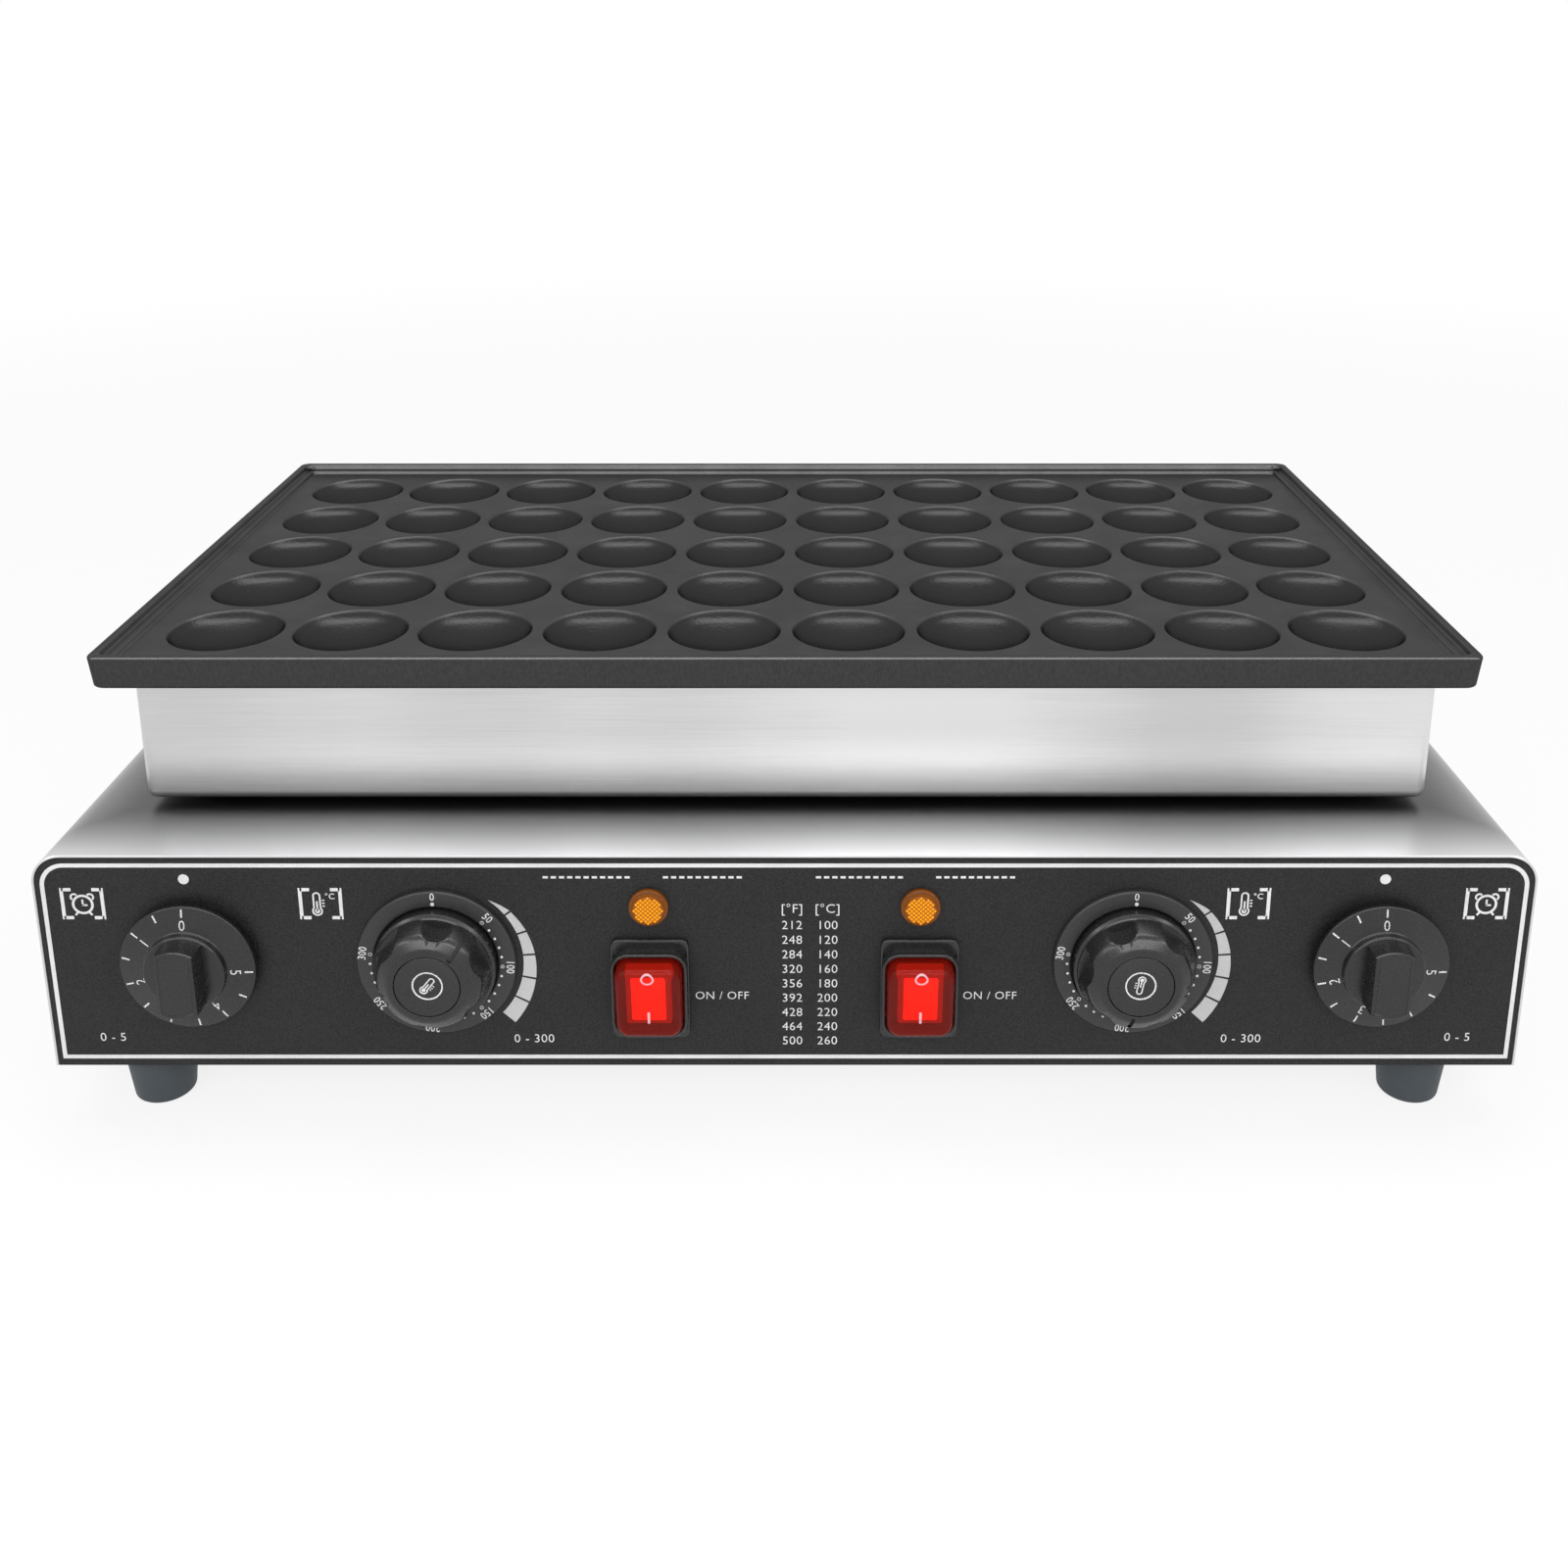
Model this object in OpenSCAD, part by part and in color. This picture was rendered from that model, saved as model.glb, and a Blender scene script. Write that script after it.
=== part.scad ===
// Countertop mini pancake machine with a cast griddle of round cups and two heating zones.
// Lengths are millimetres and angles are degrees. +X is to the right and +Y to the back, seen from
// the control panel, and the origin is on the table under the middle of the whole machine.

/* [Griddle] */
// Cups along the width of the griddle
cups_across = 10; // [10:2:12]
// Cups along the depth of the griddle
cups_deep = 5; // [5:2:7]
// Diameter of a cup at its mouth
cup_d = 45; // [42:0.5:46]
// Distance between neighbouring cups
cup_pitch = 49; // [48:0.5:54]
// Slope of the wall of a cup at its mouth, from level
cup_mouth_angle = 60; // [52:1:68]
// Radius where the wall of a cup turns into its floor
cup_corner_r = 10; // [8:0.5:11]
// Radius of the domed floor of a cup
cup_floor_r = 42; // [38:1:50]
// Metal left under the deepest point of a cup
cup_floor_t = 6; // [5:0.5:9]
// Distance from the outermost cups to the edge of the griddle
edge_margin = 17; // [14:0.5:24]
// Height of the outer edge of the griddle
edge_h = 13; // [11:0.5:16]
// Height of the lip over the land between the cups
lip_h = 4; // [3:0.2:6]
// Width of the top of the lip
lip_w = 3.6; // [2.5:0.1:5]
// Height of the ledge inside the lip over the land
ledge_h = 1.6; // [0.8:0.1:2.4]
// Width of the ledge inside the lip
ledge_w = 4.6; // [3:0.1:6]
// Corner radius of the griddle
griddle_corner_r = 4; // [2:0.5:8]
// Width of the parting cut that leaves one block of the casting for each cup
cell_cut = 0.04; // [0.02:0.01:0.1]

/* [Housing] */
// Overhang of the griddle past the housing
griddle_overhang = 12; // [8:0.5:16]
// Height of the housing
housing_h = 51; // [46:1:60]
// Thickness of the housing sheet
housing_t = 1; // [0.8:0.1:1.5]
// Radius of the lower and upright edges of the housing
housing_edge_r = 4; // [3:0.5:8]
// Room between the core of the griddle and the housing wall
core_gap = 1.5; // [1:0.1:3]
// Height of the spacers between base and housing
spacer_h = 2; // [1.5:0.5:8]
// Outer diameter of a spacer
spacer_d = 18; // [14:0.5:22]

/* [Base] */
// Width of the base past the griddle on each side
side_margin = 16; // [12:1:30]
// Depth of the shelf in front of the griddle
front_shelf = 28; // [24:1:60]
// Depth of the shelf behind the griddle
rear_shelf = 27; // [20:1:60]
// Height of the base walls without the feet
base_h = 88; // [84:1:110]
// Radius of the bend along the long top edges
bend_r = 11.5; // [6:0.5:16]
// Thickness of the sheet of the base
sheet_t = 1; // [0.8:0.1:1.5]
// Thickness of the front and rear plates
plate_t = 1.2; // [1:0.1:2]
// Thickness of the printed film on the front plate
film_t = 0.5; // [0.3:0.05:0.8]
// Thickness of the bottom cover
cover_t = 1; // [0.8:0.1:1.5]
// Width of the turned-in flanges
flange_w = 14; // [12:0.5:20]
// Room between sheets that slide into each other
sheet_gap = 0.2; // [0.1:0.05:0.4]
// Width of a vent slot
vent_w = 3; // [2:0.1:3.8]
// Length of a vent slot
vent_l = 60; // [30:1:80]

/* [Feet and screws] */
// Height of a foot
foot_h = 25; // [18:0.5:30]
// Diameter of a foot under the base
foot_top_d = 28.4; // [24:0.2:32]
// Diameter of a foot on the table
foot_low_d = 22.6; // [18:0.2:28]
// Distance from the middle of a foot to the side of the base
foot_inset = 31; // [20:0.5:50]
// Distance from the middle of a foot to the front or rear of the base
foot_setback = 22; // [20:0.5:40]
// Depth of the recess for the screw in a foot
foot_recess = 8; // [5:0.5:12]
// Diameter of the screws in the cover and the feet
screw_d = 4; // [3:0.1:5]
// Diameter of the head of such a screw
screw_head_d = 8.4; // [7:0.1:9.4]
// Height of the head of such a screw
screw_head_h = 2.6; // [2:0.1:3.4]
// Distance from the outer cover screws to the side of the base
cover_screw_inset = 41; // [38:0.5:60]
// Distance from the cover screws to the front or rear of the base
cover_screw_setback = 6; // [5:0.1:9]
// Room around a screw in a plain hole
screw_gap = 0.2; // [0.1:0.05:0.5]
// Room around a screw in a threaded hole
thread_gap = 0.05; // [0.02:0.01:0.1]
// Diameter of the bolts that hold the griddle down
bolt_d = 6; // [5:0.5:8]

/* [Dials] */
// Height of the four dials over the underside of the base
dial_z = 45; // [41:0.5:50]
// Distance from a timer to the side of the base
timer_inset = 56; // [50:1:70]
// Distance from a thermostat to the middle of the panel
heat_x = 129; // [115:1:140]
// Diameter of a control shaft
shaft_d = 6; // [5:0.1:6.4]
// Room around a shaft in its bearing
shaft_gap = 0.05; // [0.02:0.01:0.09]
// Diameter of the numbered disc of a timer knob
timer_disc_d = 50; // [44:0.5:54]
// Thickness of that disc at its rim
timer_disc_t = 2; // [1.5:0.1:3]
// Room between that disc and the panel
timer_disc_gap = 3; // [2.4:0.1:5]
// Diameter of the hub of a timer knob
timer_hub_d = 30; // [28:0.5:34]
// Height of the hub over the panel
timer_hub_h = 9.5; // [8.5:0.5:12]
// Width of the grip bar of a timer knob
timer_bar_w = 14.4; // [12:0.2:16]
// Length of the grip bar of a timer knob
timer_bar_l = 27.6; // [24:0.2:28]
// Height of a timer knob over the panel
timer_knob_h = 18; // [16:0.5:26]
// Diameter of the fixed scale ring round a temperature knob
ring_d = 59; // [54:0.5:64]
// Thickness of that ring
ring_t = 2.2; // [1.5:0.1:3]
// Diameter of the round foot of a temperature knob
heat_knob_d = 45.2; // [42:0.2:46]
// Room between a temperature knob and its ring
ring_gap = 0.6; // [0.5:0.1:1]
// Room between a temperature knob and the panel
heat_knob_gap = 1; // [0.6:0.1:2]
// Height of the round foot of a temperature knob over the panel
heat_foot_h = 6; // [5:0.5:8]
// Height of a temperature knob over the panel
heat_knob_h = 18; // [16.5:0.5:26]
// Diameter of the face of a temperature knob
heat_face_d = 38; // [36:0.5:40]
// Finger hollows round a temperature knob
finger_count = 6; // [5:1:8]
// Radius of a finger hollow
finger_r = 9; // [7:0.5:12]
// Depth of a finger hollow at the face of the knob
finger_depth = 1.6; // [0.8:0.1:2.4]
// Diameter of the cap in the middle of a temperature knob
cap_d = 24; // [22:0.2:25]
// Thickness of that cap
cap_t = 3; // [2:0.1:4]
// Clockwise turn of the left temperature knob as it stands
left_heat_turn = 39; // [0:1:280]
// Clockwise turn of the right temperature knob as it stands
right_heat_turn = 190; // [0:1:280]
// Side of the square body of a timer
timer_body_w = 46; // [42:1:50]
// Depth of the body of a timer
timer_body_d = 26; // [22:1:36]
// Side of the square body of a thermostat
heat_body_w = 36; // [34:1:42]
// Depth of the body of a thermostat
heat_body_d = 28; // [24:1:36]
// Distance from a dial's axis to its fixing screws
dial_screw_x = 13; // [11.5:0.1:13.5]
// Diameter of those screws
dial_screw_d = 3; // [2.5:0.1:3.5]

/* [Switches and lamps] */
// Distance from a switch and its lamp to the middle of the panel
switch_x = 50; // [44:0.5:60]
// Height of a switch over the underside of the base
switch_z = 34; // [30:0.5:38]
// Width of the frame of a switch
frame_w = 29; // [28:0.2:32]
// Height of the frame of a switch
frame_h = 41; // [38:0.2:43]
// Thickness of the frame of a switch
frame_t = 2; // [1.6:0.1:3]
// Width of a rocker
rocker_w = 24.6; // [22:0.2:25]
// Height of a rocker
rocker_h = 30; // [28:0.2:32]
// Height of the ends of a rocker over the panel
rocker_reach = 12; // [10:0.2:14]
// Depth of the valley in the middle of a rocker
rocker_dip = 1.6; // [0.8:0.1:2.5]
// Corner radius of a rocker
rocker_corner_r = 5; // [3:0.2:7]
// Room beside a rocker
rocker_gap = 0.4; // [0.3:0.05:0.6]
// Room above and below a rocker for its tilt
rocker_tilt_gap = 1; // [0.8:0.1:1.5]
// Tilt of a rocker from its middle place to on or off
rocker_tilt = 7; // [5:0.5:8]
// Wall of the collar round a rocker
collar_wall = 1.4; // [1.2:0.1:2]
// Height of that collar over the panel
collar_h = 7; // [6:0.2:8]
// Height of a rocker's pivot over the panel
pivot_h = 4.4; // [4:0.1:5]
// Diameter of a rocker's pivot
pivot_d = 3; // [2:0.1:3.4]
// Depth of the body of a switch
switch_body_d = 24; // [20:1:34]
// Distance from a lamp to the top of the base
lamp_drop = 20.5; // [16:0.5:23]
// Diameter of the rim of a lamp
lamp_rim_d = 14.6; // [13:0.2:17]
// Diameter of the lens of a lamp
lamp_lens_d = 11.6; // [10:0.2:12.6]
// Diameter of the neck of a lamp
lamp_neck_d = 9.8; // [8:0.2:11]
// Height of a lamp over the panel
lamp_h = 4; // [3:0.1:6]
// Depth of a lamp behind the panel
lamp_body_d = 24; // [18:1:34]

/* [Heating] */
// Diameter of the tube of a heater
heater_d = 8; // [6.5:0.1:9]
// Distance from the middle of the griddle to each heater's inner ends
heater_gap = 26; // [22:1:34]
// Length of a terminal pin of a heater
heater_pin_l = 14; // [10:0.5:18]
// Diameter of a terminal pin of a heater
heater_pin_d = 4; // [3:0.1:5]
// Room between the tube of a heater and what holds it
heater_play = 0.1; // [0.05:0.05:0.3]
// Width of a clamp bar under the heaters
clamp_w = 18; // [14:0.5:24]
// Thickness of a clamp bar
clamp_t = 2; // [1.5:0.1:3]
// Diameter of the screws under the griddle
clamp_screw_d = 5; // [4:0.1:6]
// Depth of the threaded holes under the griddle
thread_depth = 4; // [3:0.2:4.4]
// Diameter of the bulb of a thermostat
bulb_d = 6; // [5:0.1:7]
// Length of the bulb of a thermostat
bulb_l = 80; // [60:1:95]
// Diameter of the capillary tube of a thermostat
capillary_d = 2; // [1.6:0.1:2.6]
// Thickness of the insulation on the floor of the housing
insulation_t = 12; // [8:0.5:13]
// Height of the turned-up edge of the reflector
reflector_edge_h = 8; // [4:0.5:10]
// Inner diameter of a bushing for wires
bushing_d = 18; // [17:0.5:22]
// Wall of a bushing for wires
bushing_wall = 3; // [2:0.2:4]

/* [Mains] */
// Height of the cord gland over the underside of the base
gland_z = 30; // [24:0.5:50]
// Bore of the cord gland
gland_bore_d = 10.4; // [8:0.1:12]
// Diameter of the thread of the gland
gland_thread_d = 16; // [14:0.2:18]
// Diameter of the collar of the gland
gland_collar_d = 22; // [20:0.2:26]
// Length of the gland behind the rear plate
gland_nose_l = 14; // [10:0.5:24]
// Length of the gland inside the base
gland_inner_l = 12; // [10:0.5:20]
// Length of the terminal block
block_l = 56; // [48:1:70]
// Depth of the terminal block
block_w = 22; // [18:0.5:30]
// Height of the terminal block
block_h = 18; // [14:0.5:24]
// Distance from the terminal block to the rear of the base
block_setback = 75; // [60:1:90]
// Diameter of an insulated wire
wire_d = 2.6; // [2:0.1:3]

/* [Hidden] */
$fn = 64;
// Overlap that keeps a cut from ending on a face.
eps = 0.01;
// Past an edge by this much, a cut is surely through.
past = 1;

// Outline sizes that follow from the griddle
griddle_w = (cups_across - 1) * cup_pitch + cup_d + 2 * edge_margin;
griddle_d = (cups_deep - 1) * cup_pitch + cup_d + 2 * edge_margin;
housing_w = griddle_w - 2 * griddle_overhang;
housing_d = griddle_d - 2 * griddle_overhang;
base_w = griddle_w + 2 * side_margin;
base_d = griddle_d + front_shelf + rear_shelf;
inner_w = base_w - 2 * sheet_t;

// Levels, from the table upwards
base_z = foot_h;
top_z = base_z + base_h;
housing_z = top_z + spacer_h;
seat_z = housing_z + housing_h;
land_z = seat_z + edge_h - lip_h;
corner_x = cup_d / 2 - cup_corner_r * sin(cup_mouth_angle);
corner_z = cup_corner_r * cos(cup_mouth_angle);
bulb_gap = 0.3;
dome_z = corner_z + sqrt(pow(cup_floor_r - cup_corner_r, 2) - pow(corner_x, 2));
cup_depth = cup_floor_r - dome_z;
under_z = land_z - cup_depth - cup_floor_t;
heater_z = under_z - heater_play - heater_d / 2;
clamp_z = heater_z - heater_d / 2 - heater_play - clamp_t;
bulb_z = under_z - bulb_d / 2 - bulb_gap;

// Planes from the front to the back
front_reach = max(timer_knob_h, heat_knob_h, rocker_reach + rocker_h / 2 * sin(rocker_tilt));
panel_y = front_reach - (front_reach + base_d + gland_nose_l) / 2;
rear_y = panel_y + base_d;
griddle_y = panel_y + front_shelf + griddle_d / 2;
panel_t = film_t + plate_t;
block_y = rear_y - block_setback;

// Places along the panel
lamp_z = base_h - lamp_drop;
timer_x = base_w / 2 - timer_inset;

// Cups, counted from the front left
cup_x = [for (i = [0 : cups_across - 1]) (i - (cups_across - 1) / 2) * cup_pitch];
cup_y = [for (j = [0 : cups_deep - 1]) griddle_y + (j - (cups_deep - 1) / 2) * cup_pitch];
cut_x = [for (i = [1 : cups_across - 1]) (i - cups_across / 2) * cup_pitch];
cut_y = [for (j = [1 : cups_deep - 1]) griddle_y + (j - cups_deep / 2) * cup_pitch];
corner_cup_x = cup_x[cups_across - 1];
corner_cup_y = cup_y[cups_deep - 1] - griddle_y;

// Heaters: four runs on each side, under the webs between the rows of cups
run_y = [-1.5 * cup_pitch, -0.5 * cup_pitch, 0.5 * cup_pitch, 1.5 * cup_pitch];
inner_bend_x = heater_gap + cup_pitch / 2 + heater_d / 2;
outer_bend_x = corner_cup_x - cup_pitch / 2 - heater_d;
run_end_x = heater_gap + heater_pin_l;
clamp_x = [1.5 * cup_pitch, 3.5 * cup_pitch];
clamp_l = 4 * cup_pitch;
clamp_screw_head_d = 1.8 * clamp_screw_d;
clamp_screw_head_h = 0.7 * clamp_screw_d;

// Thermostat bulbs lie along the middle row, in saddles between the clamp bars
bulb_x = 2.5 * cup_pitch;
saddle_x = [bulb_x - 0.3 * bulb_l, bulb_x + 0.3 * bulb_l];
saddle_l = 10;
saddle_h = bulb_d + 2;
saddle_screw_y = 11;
saddle_y = [-bulb_d / 2 - 4, saddle_screw_y + clamp_screw_d / 2 + 3.5];

// Wire bushings through the top of the base and the floor of the housing
pass_x = inner_bend_x + 5;
bushing_outer_d = bushing_d + 2 * bushing_wall;
bushing_flange = 3;
bushing_flange_t = 2;
bushing_top_z = housing_z + housing_t + 3;

// Fixings
boss_d = 2.6 * bolt_d;
boss_h = 8;
bolt_head_h = 4;
bolt_thread = boss_h + 2;
nut_d = 2 * screw_d;
nut_h = 0.8 * screw_d;
foot_x = base_w / 2 - foot_inset;
foot_y = [panel_y + foot_setback, rear_y - foot_setback];
cover_screw_x = base_w / 2 - cover_screw_inset;
cover_screw_l = 8;
side_screw_x = base_w / 2 - sheet_t - flange_w / 2;
middle_y = (panel_y + rear_y) / 2;
cover_screws_at = concat(
    [for (y = [panel_y + cover_screw_setback, rear_y - cover_screw_setback], s = [-1, 0, 1])
        [s * cover_screw_x, y]],
    [for (s = [-1, 1]) [s * side_screw_x, middle_y]]);
bolts_at = [for (sx = [-1, 1], sy = [-1, 1]) [sx * corner_cup_x, griddle_y + sy * corner_cup_y]];
clamp_screws_at = [for (s = [-1, 1], x = clamp_x, y = [-cup_pitch, cup_pitch])
    [s * x, griddle_y + y]];
saddle_screws_at = [for (s = [-1, 1], x = saddle_x) [s * x, griddle_y + saddle_screw_y]];
dial_screw_head_d = 1.8 * dial_screw_d;
dial_screw_head_h = 1.6;
dial_screw_l = 8;
dials_at = [[-timer_x, dial_z], [timer_x, dial_z], [-heat_x, dial_z], [heat_x, dial_z]];
block_screw_x = block_l / 2 - 5;
block_screws_at = [for (s = [-1, 1]) [s * block_screw_x, block_y]];
vent_pitch = 3 * vent_w;
vent_count = 8;
vent_low = 20;
vent_high = base_h - 26;

// Dials
neck_d = shaft_d + 4;
neck_gap = 0.2;
shaft_tail = 14;
timer_shaft_l = timer_knob_h - 4;
heat_shaft_l = heat_knob_h - cap_t - 3;
knob_boss_d = shaft_d + 5;
blade_w = 6.3;
blade_t = 0.8;
blade_l = 8;
blade_x = 9;
switch_blade_x = 7;
switch_blade_y = 8;
lamp_blade_x = 3;
wire_gap = 0.6;

// Switches
collar_w = rocker_w + 2 * rocker_gap + 2 * collar_wall;
collar_hh = rocker_h + 2 * rocker_tilt_gap + 2 * collar_wall;
rocker_back_h = 3;
pivot_l = rocker_gap + collar_wall - 0.4;
switch_neck_w = collar_w - 3;
switch_neck_h = collar_hh - 3;
switch_gap = 0.3;
frame_corner_r = 3;

// Depth of the lamp's neck in its holder
lamp_grip = 4;

// Round-cornered rectangle about the origin
module soft_rectangle(w, h, r) {
    square([w - 2 * r, h], center = true);
    square([w, h - 2 * r], center = true);
    for (sx = [-1, 1], sy = [-1, 1])
        translate([sx * (w / 2 - r), sy * (h / 2 - r)]) circle(r);
}

// Outline that stands on the X axis, with its two upper corners rounded
module arch(w, h, r) {
    translate([-w / 2, 0]) square([w, h - r]);
    translate([-w / 2 + r, 0]) square([w - 2 * r, h]);
    for (s = [-1, 1]) translate([s * (w / 2 - r), h - r]) circle(r);
}

// Extrudes an outline drawn in X and Z from one Y to another
module along_y(from, to) {
    translate([0, to, 0]) rotate([90, 0, 0]) linear_extrude(to - from) children();
}

// Block between two corners
module block(low, high) {
    translate(low) cube(high - low);
}

// Puts children on the panel at a place, with their Z axis pointing out at the user
module on_panel(x, z) {
    translate([x, panel_y, base_z + z]) rotate([90, 0, 0]) children();
}

// Upright hole or pin at each place
module upright_at(places, d, from, to) {
    for (p = places) translate([p[0], p[1], from]) cylinder(d = d, h = to - from);
}

// Hexagon with a given width across its corners
module hexagon(d, h) {
    cylinder(d = d, h = h, $fn = 6);
}

// Box with rounded upright and lower edges and a flat top
module soft_box(w, d, h, r) {
    hull() for (sx = [-1, 1], sy = [-1, 1]) translate([sx * (w / 2 - r), sy * (d / 2 - r), r]) {
        rotate_extrude($fn = 32) intersection() {
            circle(r, $fn = 32);
            translate([0, -r]) square([r, r]);
        }
        cylinder(r = r, h = h - r, $fn = 32);
    }
}

// Smooth curve through points, with some steps between each two
function curve_point(a, b, c, d, t) =
    0.5 * (2 * b + (c - a) * t + (2 * a - 5 * b + 4 * c - d) * t * t
        + (3 * b - a - 3 * c + d) * t * t * t);
function curve(p, steps) = concat(
    [for (i = [0 : len(p) - 2], k = [0 : steps - 1])
        curve_point(p[max(i - 1, 0)], p[i], p[i + 1], p[min(i + 2, len(p) - 1)], k / steps)],
    [p[len(p) - 1]]);

// Tube of some sides along points, with a radius for each point
function unit(v) = v / norm(v);
module swept_tube(points, radii, sides = 8) {
    last = len(points) - 1;
    aside = [0.83, 0.31, 0.47];
    rings = [for (i = [0 : last])
        let (ahead = unit(points[min(i + 1, last)] - points[max(i - 1, 0)]),
            u = unit(cross(ahead, aside)),
            v = cross(ahead, u))
        for (k = [0 : sides - 1])
            points[i] + radii[i] * (cos(360 * k / sides) * u + sin(360 * k / sides) * v)];
    walls = [for (i = [0 : last - 1], k = [0 : sides - 1])
        let (a = i * sides + k, b = i * sides + (k + 1) % sides)
        each [[a, a + sides, b + sides], [a, b + sides, b]]];
    ends = [[for (k = [0 : sides - 1]) k], [for (k = [sides - 1 : -1 : 0]) last * sides + k]];
    polyhedron(rings, concat(ends, walls), convexity = 8);
}
module wire(points, steps = 5) {
    path = curve(points, steps);
    swept_tube(path, [for (p = path) wire_d / 2]);
}

// Hollow of one cup, with its mouth at Z = 0
module cup_hollow() {
    rotate_extrude() intersection() {
        union() {
            translate([corner_x, corner_z]) circle(cup_corner_r);
            intersection() {
                translate([0, dome_z]) circle(cup_floor_r);
                translate([0, -cup_depth - past])
                    square([corner_x * cup_floor_r / (cup_floor_r - cup_corner_r), cup_depth + 2 * past]);
            }
        }
        translate([0, -cup_depth - past]) square([cup_d / 2, cup_depth + 2 * past]);
    }
}

// The casting is parted into one block for each cup, so that every cup stays an open dish
module griddle_plate() {
    core_w = housing_w - 2 * housing_t - 2 * core_gap;
    core_d = housing_d - 2 * housing_t - 2 * core_gap;
    step_w = griddle_w - 2 * lip_w;
    step_d = griddle_d - 2 * lip_w;
    color("dimgray") difference() {
        union() {
            translate([0, griddle_y, seat_z])
                linear_extrude(edge_h) soft_rectangle(griddle_w, griddle_d, griddle_corner_r);
            translate([0, griddle_y, under_z]) linear_extrude(seat_z - under_z + eps)
                soft_rectangle(core_w, core_d, griddle_corner_r);
            upright_at(bolts_at, boss_d, under_z - boss_h, under_z + eps);
        }
        translate([0, griddle_y, land_z + ledge_h])
            linear_extrude(lip_h) soft_rectangle(step_w, step_d, griddle_corner_r / 2);
        translate([0, griddle_y, land_z]) linear_extrude(lip_h)
            soft_rectangle(step_w - 2 * ledge_w, step_d - 2 * ledge_w, griddle_corner_r / 2);
        for (x = cup_x, y = cup_y) translate([x, y, land_z]) cup_hollow();
        for (x = cut_x) block([x - cell_cut / 2, griddle_y - griddle_d, under_z - boss_h - past],
            [x + cell_cut / 2, griddle_y + griddle_d, seat_z + edge_h + past]);
        for (y = cut_y) block([-griddle_w, y - cell_cut / 2, under_z - boss_h - past],
            [griddle_w, y + cell_cut / 2, seat_z + edge_h + past]);
        upright_at(bolts_at, bolt_d + 2 * thread_gap, under_z - boss_h - past,
            under_z - boss_h + bolt_thread);
        upright_at(concat(clamp_screws_at, saddle_screws_at), clamp_screw_d + 2 * thread_gap,
            under_z - past, under_z + thread_depth);
    }
}

module bushing_holes(d, from, to) {
    upright_at([for (s = [-1, 1]) [s * pass_x, griddle_y]], d, from, to);
}

module upper_housing() {
    color("gainsboro") difference() {
        translate([0, griddle_y, housing_z]) soft_box(housing_w, housing_d, housing_h, housing_edge_r);
        translate([0, griddle_y, housing_z + housing_t]) soft_box(housing_w - 2 * housing_t,
            housing_d - 2 * housing_t, housing_h, housing_edge_r - housing_t);
        upright_at(bolts_at, bolt_d + 2 * screw_gap, housing_z - past, housing_z + housing_t + past);
        bushing_holes(bushing_outer_d + 2 * screw_gap, housing_z - past, housing_z + housing_t + past);
    }
}

module housing_spacers() {
    color("dimgray") difference() {
        upright_at(bolts_at, spacer_d, top_z, housing_z);
        upright_at(bolts_at, bolt_d + 2 * screw_gap, top_z - past, housing_z + past);
    }
}

module hold_down_bolts() {
    head_z = top_z - sheet_t;
    color("silver") for (p = bolts_at) translate([p[0], p[1], head_z]) {
        translate([0, 0, -bolt_head_h]) hexagon(2 * bolt_d, bolt_head_h);
        translate([0, 0, -eps])
            cylinder(d = bolt_d, h = under_z - boss_h + bolt_thread - screw_gap - head_z);
    }
}

// Half ring of heater tube that turns round (x, y) towards +X or -X
module heater_bend(x, y, towards) {
    translate([x, griddle_y + y, heater_z]) rotate([0, 0, -90 * towards])
        rotate_extrude(angle = 180) translate([cup_pitch / 2, 0]) circle(d = heater_d);
}

module heater_run(y, from, to, d) {
    translate([from, griddle_y + y, heater_z]) rotate([0, 90, 0]) cylinder(d = d, h = to - from);
}

module heater(side) {
    color("darkslategray") mirror([side < 0 ? 1 : 0, 0, 0]) {
        for (y = [run_y[0], run_y[3]]) {
            heater_run(y, run_end_x, outer_bend_x, heater_d);
            heater_run(y, heater_gap, run_end_x + eps, heater_pin_d);
        }
        for (y = [run_y[1], run_y[2]]) heater_run(y, inner_bend_x, outer_bend_x, heater_d);
        heater_bend(outer_bend_x, -cup_pitch, 1);
        heater_bend(outer_bend_x, cup_pitch, 1);
        heater_bend(inner_bend_x, 0, -1);
    }
}

module heater_clamps() {
    color("silver") difference() {
        for (s = [-1, 1], x = clamp_x)
            block([s * x - clamp_w / 2, griddle_y - clamp_l / 2, clamp_z],
                [s * x + clamp_w / 2, griddle_y + clamp_l / 2, clamp_z + clamp_t]);
        upright_at(clamp_screws_at, clamp_screw_d + 2 * screw_gap, clamp_z - past,
            clamp_z + clamp_t + past);
    }
}

module clamp_screws() {
    color("darkgray") {
        upright_at(clamp_screws_at, clamp_screw_head_d, clamp_z - clamp_screw_head_h, clamp_z);
        upright_at(clamp_screws_at, clamp_screw_d, clamp_z - eps, under_z + thread_depth - screw_gap);
        upright_at(saddle_screws_at, clamp_screw_head_d, under_z - saddle_h - clamp_screw_head_h,
            under_z - saddle_h);
        upright_at(saddle_screws_at, clamp_screw_d, under_z - saddle_h - eps,
            under_z + thread_depth - screw_gap);
    }
}

// Flat sheet on the floor of the housing, with holes for bolts and wires
module floor_sheet(from, to) {
    inset = housing_t + housing_edge_r;
    difference() {
        block([-housing_w / 2 + inset, griddle_y - housing_d / 2 + inset, from],
            [housing_w / 2 - inset, griddle_y + housing_d / 2 - inset, to]);
        upright_at(bolts_at, bolt_d + 4, from - past, to + past);
        bushing_holes(bushing_outer_d + 2, from - past, to + past);
    }
}

module insulation_board() {
    color("white") floor_sheet(housing_z + housing_t, housing_z + housing_t + insulation_t);
}

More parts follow.
